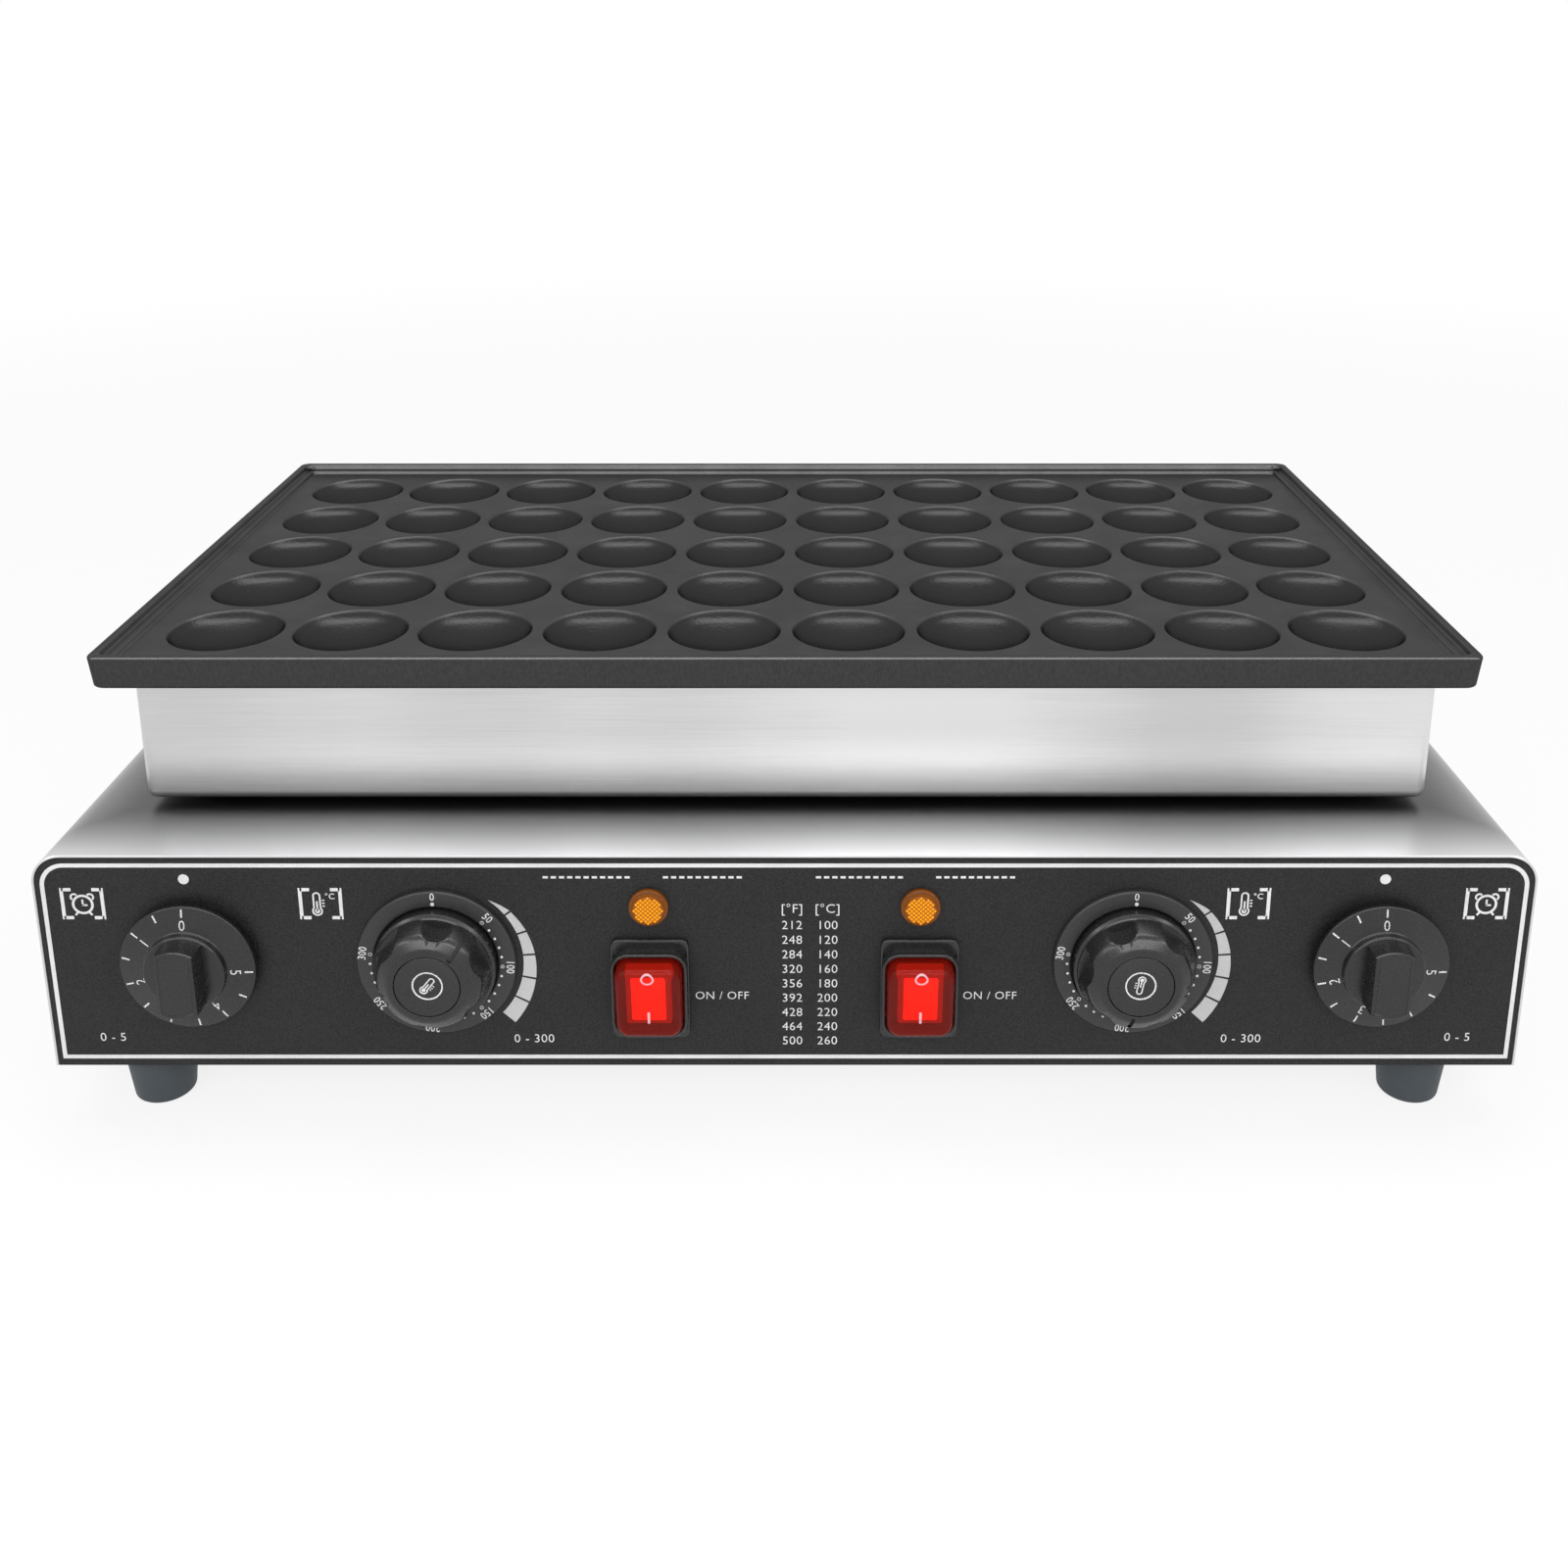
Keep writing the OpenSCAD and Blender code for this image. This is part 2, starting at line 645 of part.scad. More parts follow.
module heat_reflector() {
    low = housing_z + housing_t + insulation_t;
    inset = housing_t + housing_edge_r;
    color("lightgray") {
        floor_sheet(low, low + sheet_t);
        for (s = [-1, 1]) translate([0, s * (housing_d / 2 - inset - sheet_t / 2), 0])
            block([-housing_w / 2 + inset, griddle_y - sheet_t / 2, low],
                [housing_w / 2 - inset, griddle_y + sheet_t / 2, low + reflector_edge_h]);
    }
}

module bushing(side) {
    seat = top_z - sheet_t;
    color("saddlebrown") translate([side * pass_x, griddle_y, 0]) difference() {
        union() {
            translate([0, 0, seat - bushing_flange_t])
                cylinder(d = bushing_outer_d + 2 * bushing_flange, h = bushing_flange_t);
            translate([0, 0, seat - eps])
                cylinder(d = bushing_outer_d, h = bushing_top_z - seat + eps);
        }
        translate([0, 0, seat - bushing_flange_t - past])
            cylinder(d = bushing_d, h = bushing_top_z - seat + bushing_flange_t + 2 * past);
    }
}

// Bulb under the griddle and the capillary from it to the back of its thermostat
module bulb(side) {
    neck = bulb_x - bulb_l / 2;
    rear = panel_y + panel_t + heat_body_d;
    tube = curve([
        [neck - 4, griddle_y, bulb_z],
        [pass_x + 8, griddle_y, bulb_z - 0.5],
        [pass_x + 1, griddle_y, bulb_z - 8],
        [pass_x, griddle_y, housing_z + insulation_t],
        [pass_x + 2, griddle_y, housing_z],
        [pass_x + 4, griddle_y, top_z - 12],
        [pass_x + 12, griddle_y - 30, top_z - 26],
        [heat_x - 8, panel_y + 90, base_z + dial_z + 14],
        [heat_x, rear + 20, base_z + dial_z + 8],
        [heat_x, rear + wire_gap, base_z + dial_z + 8]], 5);
    path = concat([for (x = [bulb_x + bulb_l / 2, neck]) [x, griddle_y, bulb_z]], tube);
    radii = concat([bulb_d / 2, bulb_d / 2], [for (p = tube) capillary_d / 2]);
    color("peru") mirror([side < 0 ? 1 : 0, 0, 0]) swept_tube(path, radii);
}

module bulb_saddles() {
    color("silver") difference() {
        for (s = [-1, 1], x = saddle_x)
            block([s * x - saddle_l / 2, griddle_y + saddle_y[0], under_z - saddle_h],
                [s * x + saddle_l / 2, griddle_y + saddle_y[1], under_z]);
        for (s = [-1, 1]) translate([s * bulb_x - bulb_l, griddle_y, bulb_z]) rotate([0, 90, 0])
            cylinder(d = bulb_d + 2 * heater_play, h = 2 * bulb_l);
        upright_at(saddle_screws_at, clamp_screw_d + 2 * screw_gap, under_z - saddle_h - past,
            under_z + past);
    }
}

module base_shell() {
    flange_y = [panel_y + panel_t + sheet_gap, rear_y - plate_t - sheet_gap];
    flange_x = inner_w / 2 - flange_w;
    color("gainsboro") difference() {
        union() {
            along_y(panel_y, rear_y) translate([0, base_z]) difference() {
                arch(base_w, base_h, bend_r);
                translate([0, -past]) arch(inner_w, base_h - sheet_t + past, bend_r - sheet_t);
            }
            for (x = [-inner_w / 2 - eps, flange_x])
                block([x, flange_y[0], base_z + cover_t],
                    [x + flange_w + eps, flange_y[1], base_z + cover_t + sheet_t]);
        }
        upright_at(bolts_at, bolt_d + 2 * screw_gap, top_z - sheet_t - past, top_z + past);
        bushing_holes(bushing_outer_d + 2 * screw_gap, top_z - sheet_t - past, top_z + past);
        upright_at(cover_screws_at, screw_d + 2 * thread_gap, base_z, base_z + cover_t + sheet_t + past);
    }
}

// Holes for the controls through a sheet behind the panel's front plane
module control_holes(depth) {
    for (p = dials_at) on_panel(p[0], p[1]) {
        translate([0, 0, -depth - past]) cylinder(d = neck_d + 2 * neck_gap, h = depth + 2 * past);
        for (s = [-1, 1]) translate([s * dial_screw_x, 0, -depth - past])
            cylinder(d = dial_screw_d + 2 * screw_gap, h = depth + 2 * past);
    }
    for (s = [-1, 1]) {
        on_panel(s * switch_x, lamp_z) translate([0, 0, -depth - past])
            cylinder(d = lamp_neck_d + 2 * neck_gap, h = depth + 2 * past);
        on_panel(s * switch_x, switch_z) translate([0, 0, -depth - past])
            linear_extrude(depth + 2 * past)
                square([switch_neck_w + 2 * switch_gap, switch_neck_h + 2 * switch_gap], center = true);
    }
}

// Upright plate inside one end of the base, with a flange along its foot
module end_plate(from, to, flange_from, flange_to) {
    plate_w = inner_w - 2 * sheet_gap;
    plate_h = base_h - sheet_t - cover_t - sheet_gap;
    flange_half = inner_w / 2 - flange_w - 1;
    difference() {
        union() {
            along_y(from, to) translate([0, base_z + cover_t])
                arch(plate_w, plate_h, bend_r - sheet_t - sheet_gap);
            block([-flange_half, flange_from, base_z + cover_t],
                [flange_half, flange_to, base_z + cover_t + plate_t]);
        }
        upright_at(cover_screws_at, screw_d + 2 * thread_gap, base_z,
            base_z + cover_t + plate_t + past);
    }
}

module front_plate() {
    color("silver") difference() {
        end_plate(panel_y + film_t, panel_y + panel_t, panel_y + film_t,
            panel_y + panel_t + flange_w);
        control_holes(panel_t);
    }
}

module control_film() {
    color([0.16, 0.16, 0.16]) difference() {
        along_y(panel_y, panel_y + film_t) translate([0, base_z + sheet_gap])
            arch(inner_w - 2 * sheet_gap, base_h - sheet_t - 2 * sheet_gap,
                bend_r - sheet_t - sheet_gap);
        control_holes(panel_t);
    }
}

module rear_plate() {
    color("gainsboro") difference() {
        end_plate(rear_y - plate_t, rear_y, rear_y - plate_t - flange_w, rear_y);
        translate([0, rear_y + past, base_z + gland_z]) rotate([90, 0, 0])
            cylinder(d = gland_thread_d + 2 * screw_gap, h = plate_t + 2 * past);
        for (s = [-1, 1], i = [0 : vent_count - 1])
            translate([s * (base_w / 4 + (i - (vent_count - 1) / 2) * vent_pitch), 0, 0])
                block([-vent_w / 2, rear_y - plate_t - past, base_z + vent_low],
                    [vent_w / 2, rear_y + past, base_z + vent_high]);
    }
}

module bottom_cover() {
    half_w = inner_w / 2 - sheet_gap;
    color("silver") difference() {
        block([-half_w, panel_y + film_t + sheet_gap, base_z], [half_w, rear_y, base_z + cover_t]);
        upright_at(cover_screws_at, screw_d + 2 * screw_gap, base_z - past, base_z + cover_t + past);
        upright_at([for (s = [-1, 1], y = foot_y) [s * foot_x, y]], screw_d + 2 * screw_gap,
            base_z - past, base_z + cover_t + past);
        upright_at(block_screws_at, screw_d + 2 * thread_gap, base_z - past, base_z + cover_t + past);
        for (s = [-1, 1], i = [0 : vent_count - 1])
            translate([s * base_w / 4, middle_y + (i - (vent_count - 1) / 2) * vent_pitch, 0])
                block([-vent_l / 2, -vent_w / 2, base_z - past],
                    [vent_l / 2, vent_w / 2, base_z + cover_t + past]);
    }
}

// Screw with a domed head under the given level and a shank above it
module domed_screw(z, length) {
    translate([0, 0, z - eps]) cylinder(d = screw_d, h = length + eps);
    dome_r = (pow(screw_head_d / 2, 2) + pow(screw_head_h, 2)) / (2 * screw_head_h);
    intersection() {
        translate([0, 0, z - screw_head_h + dome_r]) sphere(dome_r);
        translate([0, 0, z - screw_head_h - past]) cylinder(d = 2 * screw_head_d, h = screw_head_h + past);
    }
}

module cover_screws() {
    color("silver") for (p = cover_screws_at)
        translate([p[0], p[1], 0]) domed_screw(base_z, cover_screw_l);
}

// Tapered foot with a recess for the screw from below
module foot(sx, row) {
    recess_r = screw_head_d / 2 + 0.8;
    hole_r = screw_d / 2 + screw_gap;
    color([0.2, 0.23, 0.26]) translate([sx * foot_x, foot_y[row], 0]) rotate_extrude() polygon([
        [recess_r, 0], [foot_low_d / 2, 0], [foot_top_d / 2, foot_h],
        [hole_r, foot_h], [hole_r, foot_recess], [recess_r, foot_recess]]);
}

module foot_screws() {
    color("silver") for (sx = [-1, 1], y = foot_y) translate([sx * foot_x, y, 0])
        domed_screw(foot_recess, base_z + cover_t + nut_h + screw_d / 4 - foot_recess);
}

module foot_nuts() {
    color("silver") for (sx = [-1, 1], y = foot_y) translate([sx * foot_x, y, base_z + cover_t])
        difference() {
            hexagon(nut_d, nut_h);
            translate([0, 0, -past]) cylinder(d = screw_d + 2 * thread_gap, h = nut_h + 2 * past);
        }
}

// Two flat terminals at the back of a control, a given depth behind the panel
module blades(depth, x = blade_x, y = 0) {
    for (s = [-1, 1]) translate([s * x - blade_t / 2, y - blade_w / 2, -depth - blade_l])
        cube([blade_t, blade_w, blade_l + eps]);
}

// Square body behind the front plate, with a neck that carries a shaft, and two screw holes
module dial_body(w, depth) {
    back = panel_t + depth;
    difference() {
        union() {
            translate([-w / 2, -w / 2, -back]) cube([w, w, depth]);
            translate([0, 0, -panel_t - eps]) cylinder(d = neck_d, h = panel_t + eps);
            blades(back);
        }
        translate([0, 0, -panel_t - shaft_tail])
            cylinder(d = shaft_d + 2 * shaft_gap, h = panel_t + shaft_tail + past);
        for (s = [-1, 1]) translate([s * dial_screw_x, 0, -panel_t - dial_screw_l])
            cylinder(d = dial_screw_d + 2 * thread_gap, h = dial_screw_l + past);
    }
}

module timer(side) {
    color("ivory") on_panel(side * timer_x, dial_z) dial_body(timer_body_w, timer_body_d);
}

module thermostat(side) {
    color("ivory") on_panel(side * heat_x, dial_z) dial_body(heat_body_w, heat_body_d);
}

module dial_screws() {
    color("silver") for (p = dials_at, s = [-1, 1])
        on_panel(p[0], p[1]) translate([s * dial_screw_x, 0, 0]) {
            cylinder(d = dial_screw_head_d, h = dial_screw_head_h);
            translate([0, 0, -dial_screw_l]) cylinder(d = dial_screw_d, h = dial_screw_l + eps);
        }
}

module shaft(x, reach) {
    tail = panel_t + shaft_tail - screw_gap;
    color("silver") on_panel(x, dial_z) translate([0, 0, -tail]) cylinder(d = shaft_d, h = tail + reach);
}

// Ring-shaped hollow in the back of a knob, round the boss that takes the shaft
module knob_hollow(d, from, to) {
    translate([0, 0, from - past]) difference() {
        cylinder(d = d, h = to - from + past);
        translate([0, 0, -past]) cylinder(d = knob_boss_d, h = to - from + 3 * past);
    }
}

module shaft_hole(reach) {
    translate([0, 0, -past]) cylinder(d = shaft_d + 2 * thread_gap, h = reach + screw_gap + past);
}

// Numbered disc that slopes up to a hub with a grip bar across it
module timer_knob(side) {
    disc_r = timer_disc_d / 2;
    hub_r = timer_hub_d / 2;
    rim_h = timer_disc_gap + timer_disc_t;
    disc_rise = 1.6;
    hub_edge = 1;
    hub_wall = 2;
    hub_roof = 2.5;
    color([0.09, 0.09, 0.09]) on_panel(side * timer_x, dial_z) difference() {
        union() {
            rotate_extrude() polygon([[0, timer_disc_gap], [disc_r, timer_disc_gap], [disc_r, rim_h],
                [hub_r, rim_h + disc_rise], [hub_r, timer_hub_h - hub_edge],
                [hub_r - hub_edge, timer_hub_h], [0, timer_hub_h]]);
            intersection() {
                translate([0, 0, timer_hub_h - eps]) cylinder(d = timer_bar_l, h = timer_knob_h);
                translate([-timer_bar_w / 2, -timer_bar_l, 0])
                    cube([timer_bar_w, 2 * timer_bar_l, timer_knob_h]);
            }
        }
        knob_hollow(timer_hub_d - 2 * hub_wall, timer_disc_gap, timer_hub_h - hub_roof);
        shaft_hole(timer_shaft_l);
    }
}

// Round foot, then a fluted body that rounds off to the face, with a seat for the cap
module heat_knob(side, turn) {
    foot_r = heat_knob_d / 2;
    face_r = heat_face_d / 2;
    cap_floor = heat_knob_h - cap_t;
    shoulder_h = 1.6;
    shoulder_w = 1;
    face_drop = 3;
    face_run = 4.5;
    foot_wall = 2.5;
    mark_w = 1.4;
    mark_depth = 2;
    mark_margin = 1.2;
    color([0.09, 0.09, 0.09]) on_panel(side * heat_x, dial_z) rotate([0, 0, -turn]) difference() {
        rotate_extrude() polygon([[0, heat_knob_gap], [foot_r, heat_knob_gap], [foot_r, heat_foot_h],
            [foot_r - shoulder_w, heat_foot_h + shoulder_h / 2], [face_r, heat_knob_h - face_drop],
            [face_r - face_run, heat_knob_h], [0, heat_knob_h]]);
        for (i = [0 : finger_count - 1]) rotate([0, 0, (i + 0.5) * 360 / finger_count])
            translate([0, face_r - finger_depth + finger_r, heat_foot_h + shoulder_h])
                cylinder(r = finger_r, h = heat_knob_h);
        translate([0, 0, cap_floor]) cylinder(d = cap_d + 2 * screw_gap, h = cap_t + past);
        translate([-mark_w / 2, cap_d / 2 + mark_margin, heat_knob_h - mark_depth])
            cube([mark_w, face_r - cap_d / 2 - 2 * mark_margin, mark_depth + past]);
        knob_hollow(heat_knob_d - 2 * foot_wall, heat_knob_gap, heat_foot_h - shoulder_w);
        shaft_hole(heat_shaft_l);
    }
}

// Cap with a shallow dish in its face
module knob_cap(side) {
    dish_r = 52;
    dish_depth = 1.3;
    color([0.12, 0.12, 0.12]) on_panel(side * heat_x, dial_z) difference() {
        translate([0, 0, heat_knob_h - cap_t]) cylinder(d = cap_d, h = cap_t);
        translate([0, 0, heat_knob_h - dish_depth + dish_r]) sphere(dish_r);
    }
}

module scale_ring(side) {
    inner_r = heat_knob_d / 2 + ring_gap;
    outer_r = ring_d / 2;
    outer_edge = 1;
    inner_edge = 0.6;
    color([0.09, 0.09, 0.09]) on_panel(side * heat_x, dial_z) rotate_extrude() polygon([
        [inner_r, 0], [outer_r, 0], [outer_r, ring_t - outer_edge], [outer_r - outer_edge, ring_t],
        [inner_r + inner_edge, ring_t], [inner_r, ring_t - inner_edge]]);
}

// Flat frame and raised collar with the window and the bearings of the rocker
module switch_frame(side) {
    window_w = rocker_w + 2 * rocker_gap;
    window_h = rocker_h + 2 * rocker_tilt_gap;
    color([0.07, 0.07, 0.07]) on_panel(side * switch_x, switch_z) difference() {
        union() {
            linear_extrude(frame_t) soft_rectangle(frame_w, frame_h, frame_corner_r);
            linear_extrude(collar_h)
                soft_rectangle(collar_w, collar_hh, rocker_corner_r + collar_wall);
        }
        translate([0, 0, -past]) linear_extrude(collar_h + 2 * past)
            soft_rectangle(window_w, window_h, rocker_corner_r);
        translate([-window_w / 2 - pivot_l, 0, pivot_h]) rotate([0, 90, 0])
            cylinder(d = pivot_d + 2 * shaft_gap, h = window_w + 2 * pivot_l);
    }
}

module switch_body(side) {
    back = panel_t + switch_body_d;
    color([0.2, 0.2, 0.2]) on_panel(side * switch_x, switch_z) {
        translate([-switch_neck_w / 2, -switch_neck_h / 2, -panel_t - eps])
            cube([switch_neck_w, switch_neck_h, panel_t + eps]);
        translate([-collar_w / 2, -collar_hh / 2, -back])
            cube([collar_w, collar_hh, switch_body_d]);
        for (s = [-1, 1]) blades(back, switch_blade_x, s * switch_blade_y);
    }
}

// Rocker in its pressed place, lower end in, with two pivots in the collar
module rocker(side) {
    half = rocker_h / 2;
    pivot_reach = rocker_w / 2 + pivot_l - 0.2;
    color("red") on_panel(side * switch_x, switch_z) translate([0, 0, pivot_h]) rotate([rocker_tilt, 0, 0])
        translate([0, 0, -pivot_h]) {
            intersection() {
                translate([0, 0, rocker_back_h]) linear_extrude(rocker_reach)
                    soft_rectangle(rocker_w, rocker_h, rocker_corner_r);
                rotate([90, 0, 90]) translate([0, 0, -rocker_w]) linear_extrude(2 * rocker_w) polygon([
                    [-half, 0], [half, 0], [half, rocker_reach], [0, rocker_reach - rocker_dip],
                    [-half, rocker_reach]]);
            }
            translate([-pivot_reach, 0, pivot_h]) rotate([0, 90, 0])
                cylinder(d = pivot_d, h = 2 * pivot_reach);
        }
}

// Rim, lens and neck of one clear moulding
module lamp(side) {
    rim_h = 2;
    rim_edge = 0.6;
    lens_edge = 0.8;
    neck_r = lamp_neck_d / 2;
    rim_r = lamp_rim_d / 2;
    lens_r = lamp_lens_d / 2;
    tail = panel_t + lamp_grip;
    color("orange") on_panel(side * switch_x, lamp_z) rotate_extrude() polygon([
        [0, -tail], [neck_r, -tail], [neck_r, 0], [rim_r, 0], [rim_r, rim_h - rim_edge],
        [rim_r - rim_edge, rim_h], [lens_r, rim_h], [lens_r - lens_edge, lamp_h], [0, lamp_h]]);
}

module lamp_holder(side) {
    back = panel_t + lamp_body_d;
    holder_wall = 1.5;
    color("whitesmoke") on_panel(side * switch_x, lamp_z) {
        difference() {
            translate([0, 0, -back]) cylinder(d = lamp_neck_d + 2 * holder_wall, h = lamp_body_d);
            translate([0, 0, -panel_t - lamp_grip - screw_gap])
                cylinder(d = lamp_neck_d + 2 * thread_gap, h = lamp_grip + screw_gap + past);
        }
        blades(back, lamp_blade_x);
    }
}

module cord_gland() {
    bore_r = gland_bore_d / 2;
    thread_r = gland_thread_d / 2;
    collar_r = gland_collar_d / 2;
    collar_t = 4;
    collar_edge = 1;
    nose_draft = 0.5;
    color([0.1, 0.1, 0.1]) translate([0, rear_y, base_z + gland_z]) rotate([-90, 0, 0])
        rotate_extrude() polygon([[bore_r, -gland_inner_l], [thread_r, -gland_inner_l], [thread_r, 0],
            [collar_r, 0], [collar_r, collar_t], [thread_r + collar_edge, collar_t + collar_edge],
            [thread_r - nose_draft, gland_nose_l], [bore_r, gland_nose_l]]);
}

module gland_nut() {
    nut_t = 5;
    color([0.1, 0.1, 0.1]) translate([0, rear_y - plate_t, base_z + gland_z]) rotate([90, 0, 0])
        difference() {
            hexagon(gland_collar_d + 4, nut_t);
            translate([0, 0, -past])
                cylinder(d = gland_thread_d + 2 * thread_gap, h = nut_t + 2 * past);
        }
}

module terminal_block() {
    floor_z = base_z + cover_t;
    poles = 5;
    pole_d = 5;
    pole_depth = 4;
    color("ivory") difference() {
        block([-block_l / 2, block_y - block_w / 2, floor_z],
            [block_l / 2, block_y + block_w / 2, floor_z + block_h]);
        upright_at(block_screws_at, screw_d + 2 * screw_gap, floor_z - past, floor_z + block_h + past);
        for (i = [0 : poles - 1], s = [-1, 1])
            translate([(i - (poles - 1) / 2) * block_l / (poles + 2), block_y + s * block_w / 4,
                floor_z + block_h - pole_depth]) cylinder(d = pole_d, h = pole_depth + past);
    }
}

module block_screws() {
    seat = base_z + cover_t + block_h;
    color("silver") {
        upright_at(block_screws_at, screw_d, base_z - cover_t, seat + eps);
        upright_at(block_screws_at, screw_head_d, seat, seat + screw_head_h);
    }
}

// Wires of one side: supply to switch, switch to timer, timer to thermostat, thermostat to heater,
// heater back to the supply, and lamp to switch
module wires(side) {
    timer_back = panel_y + panel_t + timer_body_d + blade_l + wire_gap;
    heat_back = panel_y + panel_t + heat_body_d + blade_l + wire_gap;
    switch_back = panel_y + panel_t + switch_body_d + blade_l + wire_gap;
    lamp_back = panel_y + panel_t + lamp_body_d + blade_l + wire_gap;
    block_face = block_y - block_w / 2 - wire_gap;
    dial_level = base_z + dial_z;
    switch_level = base_z + switch_z;
    lamp_level = base_z + lamp_z;
    block_level = base_z + cover_t + block_h / 2;
    pin_x = heater_gap - wire_gap;
    color("firebrick") mirror([side < 0 ? 1 : 0, 0, 0]) {
        wire([[18, block_face, block_level], [18, block_face - 20, block_level],
            [30, panel_y + 110, block_level - 4],
            [switch_x + switch_blade_x, switch_back + 30, switch_level - 10],
            [switch_x + switch_blade_x, switch_back, switch_level - switch_blade_y]]);
        wire([[switch_x + switch_blade_x, switch_back, switch_level + switch_blade_y],
            [switch_x + 12, switch_back + 16, switch_level + 8],
            [heat_x - 20, heat_back + 14, dial_level - 24],
            [timer_x - 50, timer_back + 14, dial_level - 20],
            [timer_x - blade_x, timer_back + 12, dial_level], [timer_x - blade_x, timer_back, dial_level]]);
        wire([[timer_x + blade_x, timer_back, dial_level],
            [timer_x + blade_x, timer_back + 14, dial_level + 6],
            [timer_x - 30, timer_back + 26, dial_level + 10],
            [heat_x + blade_x + 14, heat_back + 16, dial_level + 4],
            [heat_x + blade_x, heat_back + 8, dial_level], [heat_x + blade_x, heat_back, dial_level]]);
        wire([[heat_x - blade_x, heat_back, dial_level],
            [heat_x - blade_x, heat_back + 14, dial_level + 2],
            [pass_x + 24, griddle_y - 60, dial_level + 10], [pass_x - 2, griddle_y - 18, top_z - 26],
            [pass_x - 2, griddle_y - 6, top_z - 10], [pass_x - 2, griddle_y - 6, housing_z + 8],
            [pass_x - 4, griddle_y - 14, housing_z + insulation_t + 12],
            [heater_gap, griddle_y - 55, heater_z - 10],
            [pin_x - 7, griddle_y + run_y[0] + 8, heater_z - 4],
            [pin_x - 5, griddle_y + run_y[0], heater_z],
            [pin_x, griddle_y + run_y[0], heater_z]]);
        wire([[10, block_face, block_level], [10, block_face - 14, block_level],
            [pass_x - 14, griddle_y + 20, top_z - 30],
            [pass_x - 2, griddle_y + 6, top_z - 10], [pass_x - 2, griddle_y + 6, housing_z + 8],
            [pass_x - 4, griddle_y + 14, housing_z + insulation_t + 12],
            [heater_gap, griddle_y + 55, heater_z - 10],
            [pin_x - 7, griddle_y + run_y[3] - 8, heater_z - 4],
            [pin_x - 5, griddle_y + run_y[3], heater_z],
            [pin_x, griddle_y + run_y[3], heater_z]]);
        wire([[switch_x - lamp_blade_x, lamp_back, lamp_level],
            [switch_x - lamp_blade_x, lamp_back + 10, lamp_level - 2],
            [switch_x - switch_blade_x, switch_back + 12, switch_level + 14],
            [switch_x - switch_blade_x, switch_back + 6, switch_level + switch_blade_y],
            [switch_x - switch_blade_x, switch_back, switch_level + switch_blade_y]]);
    }
}

griddle_plate();
upper_housing();
housing_spacers();
hold_down_bolts();
heater(-1);  // left_heater
heater(1);  // right_heater
heater_clamps();
clamp_screws();
insulation_board();
heat_reflector();
bushing(-1);  // left_bushing
bushing(1);  // right_bushing
bulb(-1);  // left_bulb
bulb(1);  // right_bulb
bulb_saddles();
base_shell();
front_plate();
control_film();
rear_plate();
bottom_cover();
cover_screws();
foot(-1, 0);  // front_left_foot
foot(1, 0);  // front_right_foot
foot(-1, 1);  // rear_left_foot
foot(1, 1);  // rear_right_foot
foot_screws();
foot_nuts();
timer(-1);  // left_timer
timer(1);  // right_timer
shaft(-timer_x, timer_shaft_l);  // left_timer_shaft
shaft(timer_x, timer_shaft_l);  // right_timer_shaft
timer_knob(-1);  // left_timer_knob
timer_knob(1);  // right_timer_knob
thermostat(-1);  // left_thermostat
thermostat(1);  // right_thermostat
shaft(-heat_x, heat_shaft_l);  // left_heat_shaft
shaft(heat_x, heat_shaft_l);  // right_heat_shaft
heat_knob(-1, left_heat_turn);  // left_heat_knob
heat_knob(1, right_heat_turn);  // right_heat_knob
knob_cap(-1);  // left_knob_cap
knob_cap(1);  // right_knob_cap
scale_ring(-1);  // left_scale_ring
scale_ring(1);  // right_scale_ring
dial_screws();
switch_frame(-1);  // left_switch_frame
switch_frame(1);  // right_switch_frame
switch_body(-1);  // left_switch_body
switch_body(1);  // right_switch_body
rocker(-1);  // left_rocker
rocker(1);  // right_rocker
lamp(-1);  // left_lamp
lamp(1);  // right_lamp
lamp_holder(-1);  // left_lamp_holder
lamp_holder(1);  // right_lamp_holder
cord_gland();
gland_nut();
terminal_block();
block_screws();
wires(-1);  // left_wires
wires(1);  // right_wires
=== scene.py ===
# %% [markdown]
# # A mini pancake machine
# This lesson dresses a countertop machine that bakes fifty small pancakes at a time. Its solids
# come from a CAD model: they stand where they belong, and the dials and rockers already know how
# they move. Blender's job is the looks. Each piece that shows is built again with its real edges
# and finish, and the pieces inside the machine keep their solids and get a finish of their own.

import math

import bmesh
import bpy
from mathutils import Matrix, Vector


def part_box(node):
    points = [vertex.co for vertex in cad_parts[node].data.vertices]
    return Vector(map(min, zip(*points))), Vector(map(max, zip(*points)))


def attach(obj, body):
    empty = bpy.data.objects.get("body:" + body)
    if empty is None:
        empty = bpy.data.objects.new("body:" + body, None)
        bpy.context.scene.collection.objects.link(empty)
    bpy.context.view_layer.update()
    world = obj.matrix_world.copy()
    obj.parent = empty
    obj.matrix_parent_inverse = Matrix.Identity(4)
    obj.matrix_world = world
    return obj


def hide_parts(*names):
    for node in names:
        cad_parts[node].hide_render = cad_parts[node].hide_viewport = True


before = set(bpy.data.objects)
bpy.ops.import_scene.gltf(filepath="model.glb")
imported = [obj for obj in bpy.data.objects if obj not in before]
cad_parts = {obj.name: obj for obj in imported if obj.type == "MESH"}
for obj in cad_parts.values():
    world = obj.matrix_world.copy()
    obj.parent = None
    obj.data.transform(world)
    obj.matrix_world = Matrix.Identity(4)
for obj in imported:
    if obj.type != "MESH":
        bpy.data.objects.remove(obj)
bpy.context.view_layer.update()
scene = bpy.context.scene
MM = 0.001
SIDES = ("left", "right")
print("solids:", len(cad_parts))

